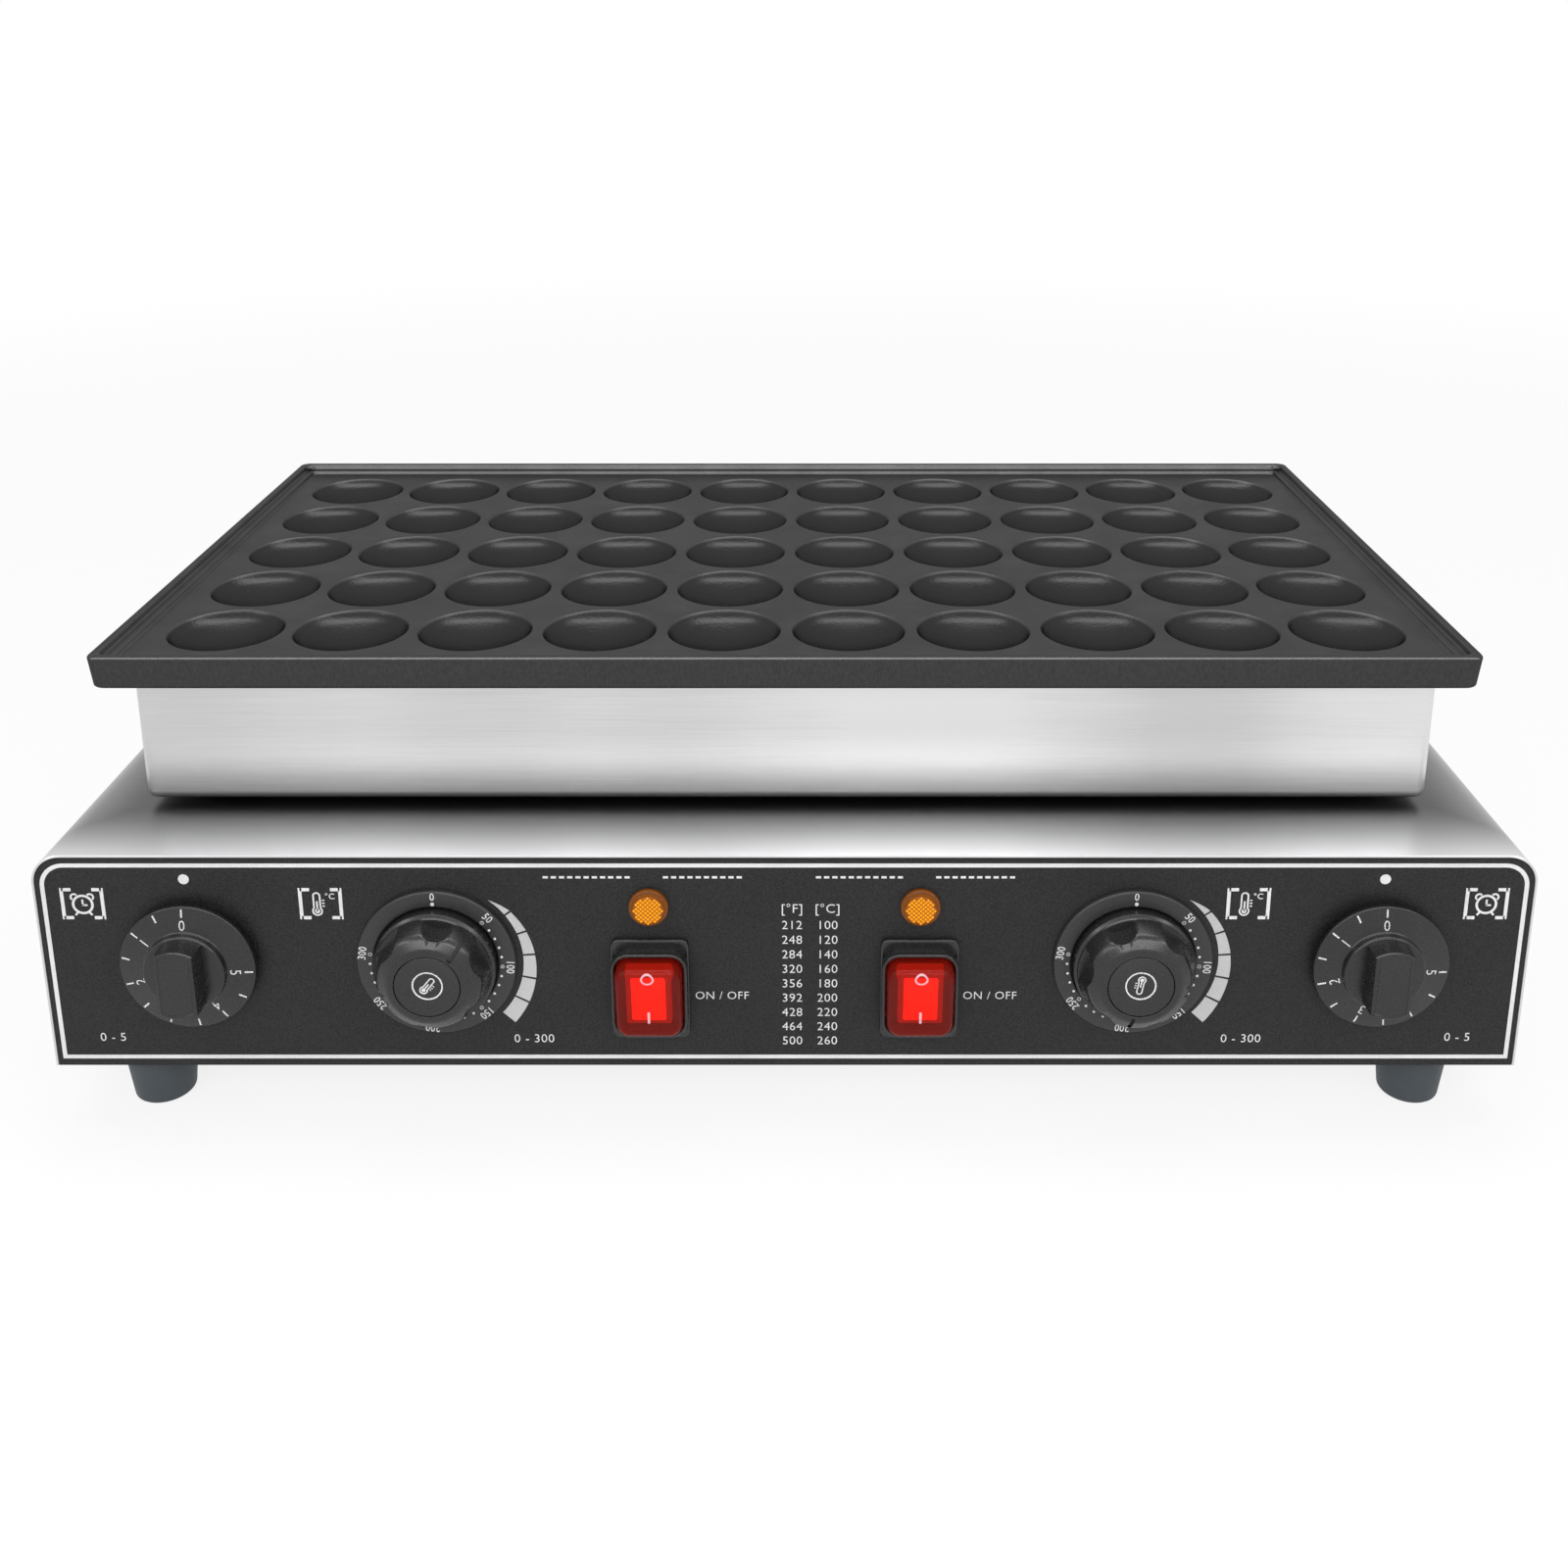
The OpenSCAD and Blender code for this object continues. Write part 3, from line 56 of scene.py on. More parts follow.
# %% [markdown]
# ## Where things are
# Blender counts in metres and a maker counts in millimetres. All sizes below are millimetres, and
# only the last step of a piece scales its mesh. The places come from the boxes of the solids, so a
# piece lands on its solid without any fitting. +X is right, +Y is back and +Z is up.


# %% Measure the solids
def box_mm(node):
    low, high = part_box(node)
    return low / MM, high / MM


def middle(node):
    low, high = box_mm(node)
    return (low + high) / 2


base_low, base_high = box_mm("base_shell")
griddle_low, griddle_high = box_mm("griddle_plate")
housing_low, housing_high = box_mm("upper_housing")
base_w = base_high.x - base_low.x
base_h = base_high.z - base_low.z
panel_y, rear_y = base_low.y, base_high.y
griddle_y = (griddle_low.y + griddle_high.y) / 2
print("base", round(base_w), "x", round(rear_y - panel_y), "x", round(base_h), "mm")

# %% [markdown]
# ## The camera
# The machine is seen from the front and a little above, with a lens of ordinary length. A camera
# could be aimed with a constraint, but three numbers say it better: how far it leans down, where it
# stands, and how long its lens is, counted in pixels of a square picture. A small shift slides the
# picture so that the machine sits in the middle of the frame.

# %% Set up the camera
PICTURE = 1600
focal_pixels = 1692
shift_pixels = (30, -320)
lean_down = 15.47
camera_place = (10.6, panel_y - 545.0, 409.6)

lens = bpy.data.cameras.new("front_view")
lens.sensor_width = 36
lens.lens = focal_pixels / PICTURE * lens.sensor_width
lens.shift_x = -shift_pixels[0] / PICTURE
lens.shift_y = shift_pixels[1] / PICTURE
lens.clip_start = 0.01
camera = bpy.data.objects.new("front_view", lens)
camera.location = Vector(camera_place) * MM
camera.rotation_euler = (math.radians(90 - lean_down), 0, 0)
scene.collection.objects.link(camera)
scene.camera = camera
print("lens", round(lens.lens, 1), "mm")

# %% [markdown]
# ## Finishes from noise
# A real surface is never one flat colour. Steel has brushing, a casting has a skin of small lumps,
# and moulded plastic has a fine grain. All of that can be drawn by noise that is stretched, spread
# to a range and sent to the colour, the roughness and a bump. A few small helpers do it, so a finish
# takes only a few lines. The noise reads Object coordinates, so it sticks to the metal.


# %% Helpers for finishes
def new_finish(name, sockets):
    material = bpy.data.materials.new(name)
    material.use_nodes = True
    shader = material.node_tree.nodes["Principled BSDF"]
    for socket, value in sockets.items():
        shader.inputs[socket].default_value = value
    return material


def add_node(owner, kind, links=(), **settings):
    """Adds a node to a material, a world or a node tree, with a value or a source for each socket."""
    tree = getattr(owner, "node_tree", owner)
    node = tree.nodes.new(kind)
    for key, value in settings.items():
        setattr(node, key, value)
    for socket, source in links:
        if isinstance(source, bpy.types.NodeSocket):
            tree.links.new(source, node.inputs[socket])
        else:
            node.inputs[socket].default_value = source
    return node


def calculate(operation, *values):
    """Arithmetic on values, of which at least one comes from a node."""
    tree = next(value.id_data for value in values if isinstance(value, bpy.types.NodeSocket))
    return add_node(tree, "ShaderNodeMath", list(enumerate(values)), operation=operation).outputs[0]


def feed(source, socket):
    """Sends a value to the shader of its own tree."""
    tree = source.id_data
    tree.links.new(source, tree.nodes["Principled BSDF"].inputs[socket])


def object_place(material):
    return add_node(material, "ShaderNodeTexCoord").outputs["Object"]


def painted(material, name):
    """A value that the mesh itself carries."""
    return add_node(material, "ShaderNodeAttribute", attribute_name=name).outputs["Fac"]


def grain(material, per_metre, detail=3.0, offset=0.0):
    """Noise with as many lumps in a metre along X, Y and Z as it is told."""
    mapped = add_node(material, "ShaderNodeMapping", [
        ("Vector", object_place(material)), ("Scale", per_metre), ("Location", (offset,) * 3)])
    noise = add_node(material, "ShaderNodeTexNoise", [
        ("Vector", mapped.outputs["Vector"]), ("Scale", 1.0), ("Detail", detail)])
    return noise.outputs["Fac"]


def spread(value, low, high, start=0.3, end=0.7):
    """Stretches the middle of a value's range to run from low to high."""
    return add_node(value.id_data, "ShaderNodeMapRange", [
        ("Value", value), ("From Min", start), ("From Max", end),
        ("To Min", low), ("To Max", high)]).outputs["Result"]


def blend(value, dark, light):
    """A colour between two, by a value. A grey is one number."""
    tree = value.id_data
    mix = add_node(tree, "ShaderNodeMix", [("Factor", value)], data_type="RGBA")
    colours = [socket for socket in mix.inputs if socket.type == "RGBA"]
    for socket, colour in zip(colours, (dark, light)):
        if isinstance(colour, bpy.types.NodeSocket):
            tree.links.new(colour, socket)
        else:
            red_green_blue = colour if isinstance(colour, tuple) else (colour,) * 3
            socket.default_value = (*red_green_blue, 1.0)
    return [socket for socket in mix.outputs if socket.type == "RGBA"][0]


def emboss(height, depth, strength=1.0):
    """Bump of a depth in metres."""
    bump = add_node(height.id_data, "ShaderNodeBump", [
        ("Height", height), ("Distance", depth), ("Strength", strength)])
    feed(bump.outputs["Normal"], "Normal")


print("helpers ready")

# %% [markdown]
# ## Steel
# The housing and the base are stainless sheet, brushed along their length. A picture of scratches
# would need an image, and an anisotropic shader would need a tangent map. Noise that is long in one
# direction and very short in the other two gives the same streaks. Broad upright bands of lighter
# and darker tone are a painted reflection of the studio. The top of the base would mirror the dark
# gap under the housing as a soft band. Brushed steel smears much further across its lines than along
# them, and this shader smears evenly, so that band is a painted reflection: the base colour is
# painted darker towards the housing, by the distance from it.


# %% Steel finishes
def brushed_steel(name, streaks, dark, light, smooth, rough, depth):
    material = new_finish(name, {"Metallic": 1.0})
    lines = grain(material, streaks, detail=5.0)
    # broad upright bands in the tone: a painted reflection of the studio
    painted_reflection_bands = grain(material, (9, 9, 1.5), detail=1.0, offset=3.0)
    both = calculate("MULTIPLY_ADD", lines, 0.3, painted_reflection_bands)
    feed(blend(spread(both, 0.0, 1.0, 0.48, 0.82), dark, light), "Base Color")
    feed(spread(lines, smooth, rough), "Roughness")
    emboss(lines, depth)
    return material


along_x = (28, 1500, 1500)
housing_steel = brushed_steel(
    "housing_steel", along_x, (0.58, 0.58, 0.585), (0.74, 0.74, 0.745), 0.30, 0.38, 0.00001)
base_steel = brushed_steel(
    "base_steel", along_x, (0.66, 0.66, 0.665), (0.76, 0.76, 0.765), 0.30, 0.38, 0.000006)
plate_steel = brushed_steel(
    "plate_steel", along_x, (0.45, 0.45, 0.46), 0.58, 0.30, 0.42, 0.00003)
screw_steel = brushed_steel(
    "screw_steel", (400, 400, 400), 0.55, (0.7, 0.7, 0.69), 0.15, 0.3, 0.00002)
sheath_steel = brushed_steel(
    "sheath_steel", (250, 250, 250), (0.10, 0.11, 0.10), (0.22, 0.23, 0.22), 0.4, 0.6, 0.00005)
print("steels made")

# %% The painted reflection band on the base
axes = add_node(base_steel, "ShaderNodeSeparateXYZ", [("Vector", object_place(base_steel))])
beyond = []
for axis, low, high in (("X", housing_low.x, housing_high.x), ("Y", housing_low.y, housing_high.y)):
    off = calculate("SUBTRACT", axes.outputs[axis], (low + high) / 2 * MM)
    size = calculate("ABSOLUTE", off)
    beyond.append(calculate("SUBTRACT", size, (high - low) / 2 * MM))
away = calculate("MAXIMUM", *beyond)
open_steel = base_steel.node_tree.nodes["Principled BSDF"].inputs["Base Color"].links[0].from_socket
# the base colour is painted darker towards the housing, a painted reflection of the dark gap under it
band_w, band_curve, painted_reflection_tone = 41.0, 1.7, 0.09
shade = spread(away, 0.0, 1.0, 0.0, band_w * MM)
soft_shade = calculate("POWER", shade, band_curve)
feed(blend(soft_shade, painted_reflection_tone, open_steel), "Base Color")
print("band round the housing", band_w, "mm")

# %% [markdown]
# ## The griddle's coating
# The griddle is a casting with a dark non-stick coat. A coat of plain plastic would turn pale at the
# low angle of this view. The real one holds metal flakes and stays dark, so it is shaded as a very
# dark metal whose edge is dimmed by the specular tint. Upright marks of the mould show on the outer
# wall, as noise that is long in Z, and the cups are smoother than the land. The outer wall and the
# cups are painted darker than the land, as painted shade, and the top edge of the lip is painted
# pale, as a painted highlight. Where each of these holds is an attribute of the mesh, because only
# the mesh knows its own edges.

# %% Coating
griddle_coat = new_finish("griddle_coat", {"Metallic": 1.0, "Specular Tint": (0.5, 0.5, 0.5, 1.0)})
skin = grain(griddle_coat, (1100, 1100, 1100), detail=4.0)
mottle = grain(griddle_coat, (60, 60, 60), detail=3.0, offset=5.0)
mould_marks = grain(griddle_coat, (1200, 1200, 500), detail=4.0, offset=9.0)
land_tone = blend(spread(mottle, 0.0, 1.0), 0.070, 0.086)
# the outer wall: mould marks on a tone painted darker than the land, as painted shade
wall_marks_and_shade_tone = blend(spread(mould_marks, 0.0, 1.0), 0.046, 0.062)
# the cups are painted darker than the land, as painted shade
dish_shaded_tone, lip_highlight_tone = 0.038, 0.15
wall, lip_highlight, dish = [painted(griddle_coat, name) for name in ("outer_wall", "lip_highlight", "dish")]
coat_tone = blend(wall, blend(dish, land_tone, dish_shaded_tone), wall_marks_and_shade_tone)
# the pale top edge of the lip is a painted highlight
feed(blend(lip_highlight, coat_tone, lip_highlight_tone), "Base Color")
dull, dish_polish = spread(skin, 0.30, 0.40), -0.12
feed(calculate("MULTIPLY_ADD", dish, dish_polish, dull), "Roughness")
emboss(skin, 0.00014, spread(dish, 0.25, 0.9, 0.0, 1.0))
print("coating made")

# %% [markdown]
# ## Plastics, rubber and print
# The panel's film is matt black with a fine speckle. The dials are satin mouldings with a spark
# grain, the switch frames are glossier, and the feet are slate-coloured rubber with a bloom. Print
# is a thin coat of paint that is never quite even. They differ only in tone, gloss and grain, so
# one function makes them all.


# %% Moulded and printed finishes
def moulded(name, dark, light, gloss, per_mm, depth, cloudy=0.5, **sockets):
    material = new_finish(name, {key.replace("_", " "): value for key, value in sockets.items()})
    speckle = grain(material, (per_mm * 1000,) * 3, detail=3.0)
    clouds = grain(material, (45, 45, 45), detail=2.0, offset=2.0)
    mixed = calculate("MULTIPLY_ADD", clouds, cloudy, speckle)
    start = 0.3 + 0.5 * cloudy
    tone = spread(mixed, 0.0, 1.0, start, start + 0.4)
    feed(blend(tone, dark, light), "Base Color")
    feed(spread(speckle, *gloss), "Roughness")
    emboss(speckle, depth)
    return material


film_black = moulded("film_black", 0.006, 0.026, (0.40, 0.55), 1.4, 0.00004, 0.1,
                     Specular_IOR_Level=0.25)
dial_black = moulded("dial_black", 0.009, 0.016, (0.22, 0.32), 1.6, 0.00002)
ring_black = moulded("ring_black", 0.016, 0.028, (0.36, 0.5), 1.8, 0.00003)
frame_black = moulded("frame_black", 0.012, 0.02, (0.16, 0.26), 0.6, 0.00001)
slate_rubber = moulded(
    "slate_rubber", (0.034, 0.044, 0.052), (0.050, 0.062, 0.072), (0.5, 0.7), 0.9, 0.00004)
white_ink = moulded("white_ink", 0.66, 0.8, (0.5, 0.65), 2.0, 0.00001)
grey_ink = moulded("grey_ink", 0.46, 0.58, (0.5, 0.65), 2.0, 0.00001)
silver_ink = moulded("silver_ink", (0.66, 0.66, 0.67), (0.8, 0.8, 0.81), (0.35, 0.45), 2.0, 0.00001)
ivory_body = moulded("ivory_body", (0.62, 0.58, 0.46), (0.72, 0.68, 0.56), (0.4, 0.55), 0.8, 0.00003)
grey_body = moulded("grey_body", 0.05, 0.08, (0.4, 0.55), 0.8, 0.00003)
red_silicone = moulded(
    "red_silicone", (0.34, 0.03, 0.02), (0.45, 0.05, 0.03), (0.45, 0.6), 0.6, 0.00003)
brown_silicone = moulded(
    "brown_silicone", (0.16, 0.06, 0.03), (0.22, 0.09, 0.05), (0.45, 0.6), 0.6, 0.00003)
fibre_white = moulded("fibre_white", (0.70, 0.69, 0.65), (0.82, 0.81, 0.78), (0.8, 0.95), 1.2, 0.0003)
copper = moulded(
    "copper", (0.55, 0.24, 0.13), (0.72, 0.38, 0.24), (0.25, 0.4), 0.4, 0.00002, Metallic=1.0)
print("moulded finishes made")

# %% [markdown]
# ## Clear red and amber
# The rockers and the pilot lamps are clear mouldings with a light behind them. A shell that
# lets light through, over a glowing block, looks like the real thing from every side, and a painted
# glow alone would not. The amber lens also has a painted glow of its own, bright on its diamond tips
# and dim in its grooves and on its rim, and the brown carrier in each rocker has a dim painted red
# glow. The clear plastic keeps a little roughness, as a used lens has.


# %% Lens finishes
def lens_finish(name, colour, clearness, bend, roughness):
    material = new_finish(name, {
        "Base Color": (*colour, 1.0), "Transmission Weight": clearness, "IOR": bend})
    haze = grain(material, (300, 300, 300), detail=2.0)
    feed(spread(haze, *roughness), "Roughness")
    return material


def glow_finish(name, centre, edge, strength):
    material = new_finish(name, {"Roughness": 0.5, "Emission Strength": strength})
    haze = grain(material, (120, 120, 120), detail=2.0)
    tone = blend(spread(haze, 0.0, 1.0), edge, centre)
    feed(tone, "Base Color")
    feed(tone, "Emission Color")
    return material


clear_red = lens_finish("clear_red", (0.50, 0.030, 0.014), 0.8, 1.2, (0.14, 0.22))
clear_amber = lens_finish("clear_amber", (0.80, 0.36, 0.02), 0.3, 1.45, (0.08, 0.16))
# the lens glows with painted light: bright on the diamond tips, dim in the grooves and on the rim
painted_glint_mask = painted(clear_amber, "painted_glint")
feed(blend(painted_glint_mask, (0.16, 0.05, 0.002), (0.90, 0.32, 0.006)), "Base Color")
feed(blend(painted_glint_mask, (0.07, 0.016, 0.0), (1.10, 0.40, 0.0)), "Emission Color")
for socket, value in (("Emission Strength", 1.0), ("Specular IOR Level", 0.25)):
    clear_amber.node_tree.nodes["Principled BSDF"].inputs[socket].default_value = value
red_glow = glow_finish("red_glow", (1.0, 0.030, 0.008), (0.92, 0.018, 0.005), 2.0)
amber_glow = glow_finish("amber_glow", (1.0, 0.50, 0.04), (0.9, 0.40, 0.02), 0.4)
# the brown carrier has a dim painted red glow, for light spread inside the rocker; it is no lamp
rocker_brown_painted_glow = moulded(
    "rocker_brown_painted_glow", (0.035, 0.010, 0.007), (0.05, 0.014, 0.009), (0.4, 0.5), 0.6, 0.00002,
    Emission_Color=(1.0, 0.035, 0.01, 1.0), Emission_Strength=0.4)
pink_ink = moulded("pink_ink", (0.72, 0.36, 0.40), (0.85, 0.48, 0.52), (0.4, 0.5), 2.0, 0.00001)
print("lenses made")

# %% [markdown]
# ## A small kit for shapes
# Nearly every piece here is an outline with rounded corners that is turned about an axis, or
# stacked in loops like a lathe job with a square chuck. A bevel modifier could round the edges
# afterwards, but rounding the outline first gives each corner its own radius. Arcs come
# from turning one spoke of the corner into the other.


# %% Outlines
def soften(corners, radii, steps=5, closed=False):
    """Rounds the corners of an outline, with one radius for each corner."""
    corners = [Vector(corner) for corner in corners]
    last = len(corners) - 1
    points = []
    for i, (corner, radius) in enumerate(zip(corners, radii)):
        if radius == 0 or (not closed and i in (0, last)):
            points.append(corner)
            continue
        before = (corners[i - 1] - corner).normalized()
        after = (corners[(i + 1) % len(corners)] - corner).normalized()
        half = before.angle(after) / 2
        centre = corner + (before + after).normalized() * radius / math.sin(half)
        first = corner + before * radius / math.tan(half) - centre
        final = corner + after * radius / math.tan(half) - centre
        points += [centre + first.slerp(final, k / steps) * radius for k in range(steps + 1)]
    return points


def soft_rectangle(w, h, r, steps=6):
    corners = [(w / 2, -h / 2), (w / 2, h / 2), (-w / 2, h / 2), (-w / 2, -h / 2)]
    return soften(corners, [r] * 4, steps, closed=True)


print("a soft square has", len(soft_rectangle(10, 10, 2)), "points")


# %% Surfaces
def bridge(mesh, rows, closed=True):
    """Joins rows of points with quads."""
    rings = [[mesh.verts.new(point) for point in row] for row in rows]
    for lower, upper in zip(rings, rings[1:]):
        for i in range(len(lower) if closed else len(lower) - 1):
            k = (i + 1) % len(lower)
            mesh.faces.new((lower[i], lower[k], upper[k], upper[i]))
    return rings


def lathe(mesh, profile, sides=96, closed=False, shape=None):
    """Turns a profile of (radius, height) about Z. A shape may change the radius on the way."""
    rows = []
    for radius, height in list(profile) + ([profile[0]] if closed else []):
        row = []
        for i in range(sides):
            angle = 2 * math.pi * i / sides
            reach = shape(radius, height, angle) if shape else radius
            row.append((reach * math.cos(angle), reach * math.sin(angle), height))
        rows.append(row)
    bridge(mesh, rows)


def turning(corners, radii, sides=96, closed=False):
    """A new mesh: an outline of (radius, height) with rounded corners, turned about Z."""
    mesh = bmesh.new()
    lathe(mesh, soften(corners, radii, closed=closed), sides, closed)
    return mesh


def stack(mesh, levels, outline, lift=None):
    """Stacks loops of one outline, each with its own inset and height, and closes both ends."""
    rows = []
    for inset, height in levels:
        rows.append([(x, y, height + (lift(x, y) if lift else 0)) for x, y in outline(inset)])
    rings = bridge(mesh, rows)
    mesh.faces.new(rings[0])
    mesh.faces.new(rings[-1])


def brick(mesh, low, high):
    """A plain block between two corners."""
    size = Vector(high) - Vector(low)
    place = Matrix.Translation((Vector(low) + Vector(high)) / 2) @ Matrix.Diagonal((*size, 1))
    bmesh.ops.create_cube(mesh, size=1, matrix=place)


# %% Finish a piece
def weld(mesh):
    bmesh.ops.remove_doubles(mesh, verts=mesh.verts, dist=0.0005)
    bmesh.ops.recalc_face_normals(mesh, faces=mesh.faces)


def as_object(name, mesh):
    data = bpy.data.meshes.new(name)
    mesh.to_mesh(data)
    mesh.free()
    piece = bpy.data.objects.new(name, data)
    scene.collection.objects.link(piece)
    return piece


def make_piece(name, mesh, material, place=None, stands_for=(), body="chassis", sharp=32):
    """Turns millimetres into metres, smooths the faces and lets the piece ride on its body."""
    if place:
        mesh.transform(place)
    weld(mesh)
    mesh.transform(Matrix.Scale(MM, 4))
    piece = as_object(name, mesh)
    piece.data.materials.clear()
    piece.data.materials.append(material)
    piece.data.shade_smooth()
    piece.data.set_sharp_from_angle(angle=math.radians(sharp))
    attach(piece, body)
    if stands_for:
        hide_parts(*stands_for)
    print(name, len(piece.data.polygons), "faces")
    return piece


def on_panel(spot):
    """A place on the panel: local X is right, local Y is up and local Z comes out of it."""
    return Matrix(((1, 0, 0, spot.x), (0, 0, -1, panel_y), (0, 1, 0, spot.z), (0, 0, 0, 1)))


panel_foot = on_panel(Vector((0, 0, base_low.z)))


# %% [markdown]
# ## Copies by Geometry Nodes
# Cups, dots, ticks, ribs, facets and screws are one shape many times over. Geometry Nodes put the
# copies where they belong: on a grid, round an axis, or at chosen points. Each tree is built once
# with named inputs, run on an empty mesh, and its result is kept as a plain mesh.


# %% Trees
def new_tree(name, inputs):
    tree = bpy.data.node_groups.new(name, "GeometryNodeTree")
    tree.interface.new_socket("Geometry", in_out="OUTPUT", socket_type="NodeSocketGeometry")
    for label, kind in inputs:
        tree.interface.new_socket(label, in_out="INPUT", socket_type="NodeSocket" + kind)
    return tree, tree.nodes.new("NodeGroupInput").outputs, tree.nodes.new("NodeGroupOutput")


def end_tree(tree, given, output, points, rotation=None):
    """Copies the shape to the points, makes the copies real and gives them their finish."""
    shape = add_node(tree, "GeometryNodeObjectInfo", [("Object", given["Shape"])])
    links = [("Points", points), ("Instance", shape.outputs["Geometry"])]
    if rotation:
        links.append(("Rotation", rotation))
    copies = add_node(tree, "GeometryNodeInstanceOnPoints", links)
    real = add_node(tree, "GeometryNodeRealizeInstances", [("Geometry", copies.outputs["Instances"])])
    dressed = add_node(tree, "GeometryNodeSetMaterial", [
        ("Geometry", real.outputs["Geometry"]), ("Material", given["Finish"])])
    tree.links.new(dressed.outputs["Geometry"], output.inputs["Geometry"])


# %% Copies on a grid
grid_tree, given, output = new_tree("copies on a grid", [
    ("Shape", "Object"), ("Finish", "Material"), ("Columns", "Int"), ("Rows", "Int"),
    ("Pitch", "Float"), ("Reach", "Float")])
spans = [calculate("MULTIPLY", calculate("SUBTRACT", given[label], 1.0), given["Pitch"])
         for label in ("Columns", "Rows")]
grid = add_node(grid_tree, "GeometryNodeMeshGrid", [
    ("Size X", spans[0]), ("Size Y", spans[1]),
    ("Vertices X", given["Columns"]), ("Vertices Y", given["Rows"])])
where = add_node(grid_tree, "GeometryNodeInputPosition").outputs["Position"]
distance = add_node(grid_tree, "ShaderNodeVectorMath", [(0, where)], operation="LENGTH")
outside = add_node(grid_tree, "FunctionNodeCompare", [
    ("A", distance.outputs["Value"]), ("B", given["Reach"])])
kept = add_node(grid_tree, "GeometryNodeDeleteGeometry", [
    ("Geometry", grid.outputs["Mesh"]), ("Selection", outside.outputs["Result"])])
end_tree(grid_tree, given, output, kept.outputs["Geometry"])
print("tree:", grid_tree.name)

# %% Copies round an axis
round_tree, given, output = new_tree("copies round an axis", [
    ("Shape", "Object"), ("Finish", "Material"), ("Count", "Int"), ("Radius", "Float"),
    ("First", "Float"), ("Step", "Float")])
spokes = add_node(round_tree, "GeometryNodeMeshLine", [("Count", given["Count"])])
index = add_node(round_tree, "GeometryNodeInputIndex").outputs["Index"]
turn = calculate("RADIANS", calculate("MULTIPLY_ADD", index, given["Step"], given["First"]))
spot = add_node(round_tree, "ShaderNodeCombineXYZ", [
    ("X", calculate("MULTIPLY", calculate("SINE", turn), given["Radius"])),
    ("Y", calculate("MULTIPLY", calculate("COSINE", turn), given["Radius"]))])
placed = add_node(round_tree, "GeometryNodeSetPosition", [
    ("Geometry", spokes.outputs["Mesh"]), ("Position", spot.outputs["Vector"])])
facing = add_node(round_tree, "ShaderNodeCombineXYZ", [("Z", calculate("MULTIPLY", turn, -1.0))])
end_tree(round_tree, given, output, placed.outputs["Geometry"], facing.outputs["Vector"])
print("tree:", round_tree.name)

# %% Copies at points
point_tree, given, output = new_tree("copies at points", [
    ("Shape", "Object"), ("Finish", "Material"), ("Places", "Object")])
places = add_node(point_tree, "GeometryNodeObjectInfo", [("Object", given["Places"])])
end_tree(point_tree, given, output, places.outputs["Geometry"])
print("tree:", point_tree.name)


# %% Run a tree
def take_result(holder, *tools):
    """What an object's modifiers make of it, as a mesh. The object and its tools go."""
    holder.update_tag()
    graph = bpy.context.evaluated_depsgraph_get()
    data = bpy.data.meshes.new_from_object(holder.evaluated_get(graph))
    holder.modifiers.clear()
    for spent in (holder, *tools):
        bpy.data.objects.remove(spent)
    mesh = bmesh.new()
    mesh.from_mesh(data)
    bpy.data.meshes.remove(data)
    return mesh


def grow(tree, shape, finish, **settings):
    """Runs a tree with a shape in millimetres and returns the copies as one mesh."""
    weld(shape)
    pattern, holder = as_object("pattern", shape), as_object("copies", bmesh.new())
    modifier = holder.modifiers.new("copies", "NODES")
    modifier.node_group = tree
    settings = {"Shape": pattern, "Finish": finish, **settings}
    for socket in tree.interface.items_tree:
        if socket.in_out == "INPUT":
            modifier[socket.identifier] = settings[socket.name]
    return take_result(holder, pattern)


def add_mesh(target, source, place=None):
    """Adds one mesh to another."""
    if place:
        source.transform(place)
    data = bpy.data.meshes.new("carried")
    source.to_mesh(data)
    source.free()
    target.from_mesh(data)
    bpy.data.meshes.remove(data)


# %% [markdown]
# ## One cup of the griddle
# A cup is a shallow bowl: a domed floor that bends up into a steeper wall, and a soft mouth. A batter
# cake slides out of it, because no tight corner holds it. The section is three arcs, each tangent to
# the next. It is turned about the cup's middle, and the last loop is drawn out to a square. Squares
# meet edge to edge, so fifty of them make one unbroken skin, as in a casting.

# %% Cup
cups_across, cups_deep = 10, 5
cup_r, cup_pitch = 22.5, 49.0
mouth_slope, cup_corner_r, cup_floor_r, mouth_r = math.radians(60), 10.0, 42.0, 0.8
cup_sides = 56
edge_h, lip_h = 13.0, 4.0
lip_top = griddle_high.z
land_z = lip_top - lip_h
corner_x = cup_r - cup_corner_r * math.sin(mouth_slope)
corner_z = cup_corner_r * math.cos(mouth_slope)
meeting = math.asin(corner_x / (cup_floor_r - cup_corner_r))
floor_centre = corner_z + (cup_floor_r - cup_corner_r) * math.cos(meeting)
leaving = math.acos((corner_z + mouth_r) / (cup_corner_r + mouth_r))
mouth_x = corner_x + (cup_corner_r + mouth_r) * math.sin(leaving)


def arc(centre, radius, start, end, steps):
    """Points on an arc, in radians from straight down."""
    turns = [start + (end - start) * k / steps for k in range(steps + 1)]
    return [(centre[0] + radius * math.sin(t), centre[1] - radius * math.cos(t)) for t in turns]


cup_section = arc((0, floor_centre), cup_floor_r, 0, meeting, 6)
cup_section += arc((corner_x, corner_z), cup_corner_r, meeting, leaving, 6)[1:]
cup_section += arc((mouth_x, -mouth_r), -mouth_r, leaving, 0, 3)[1:]
cup_section += [(mouth_x + mouth_r, 0)]


def square_point(angle):
    """Where a spoke at this angle meets the border of the cell."""
    longest = max(abs(math.cos(angle)), abs(math.sin(angle)))
    return (cup_pitch / 2 * math.cos(angle) / longest, cup_pitch / 2 * math.sin(angle) / longest, 0)


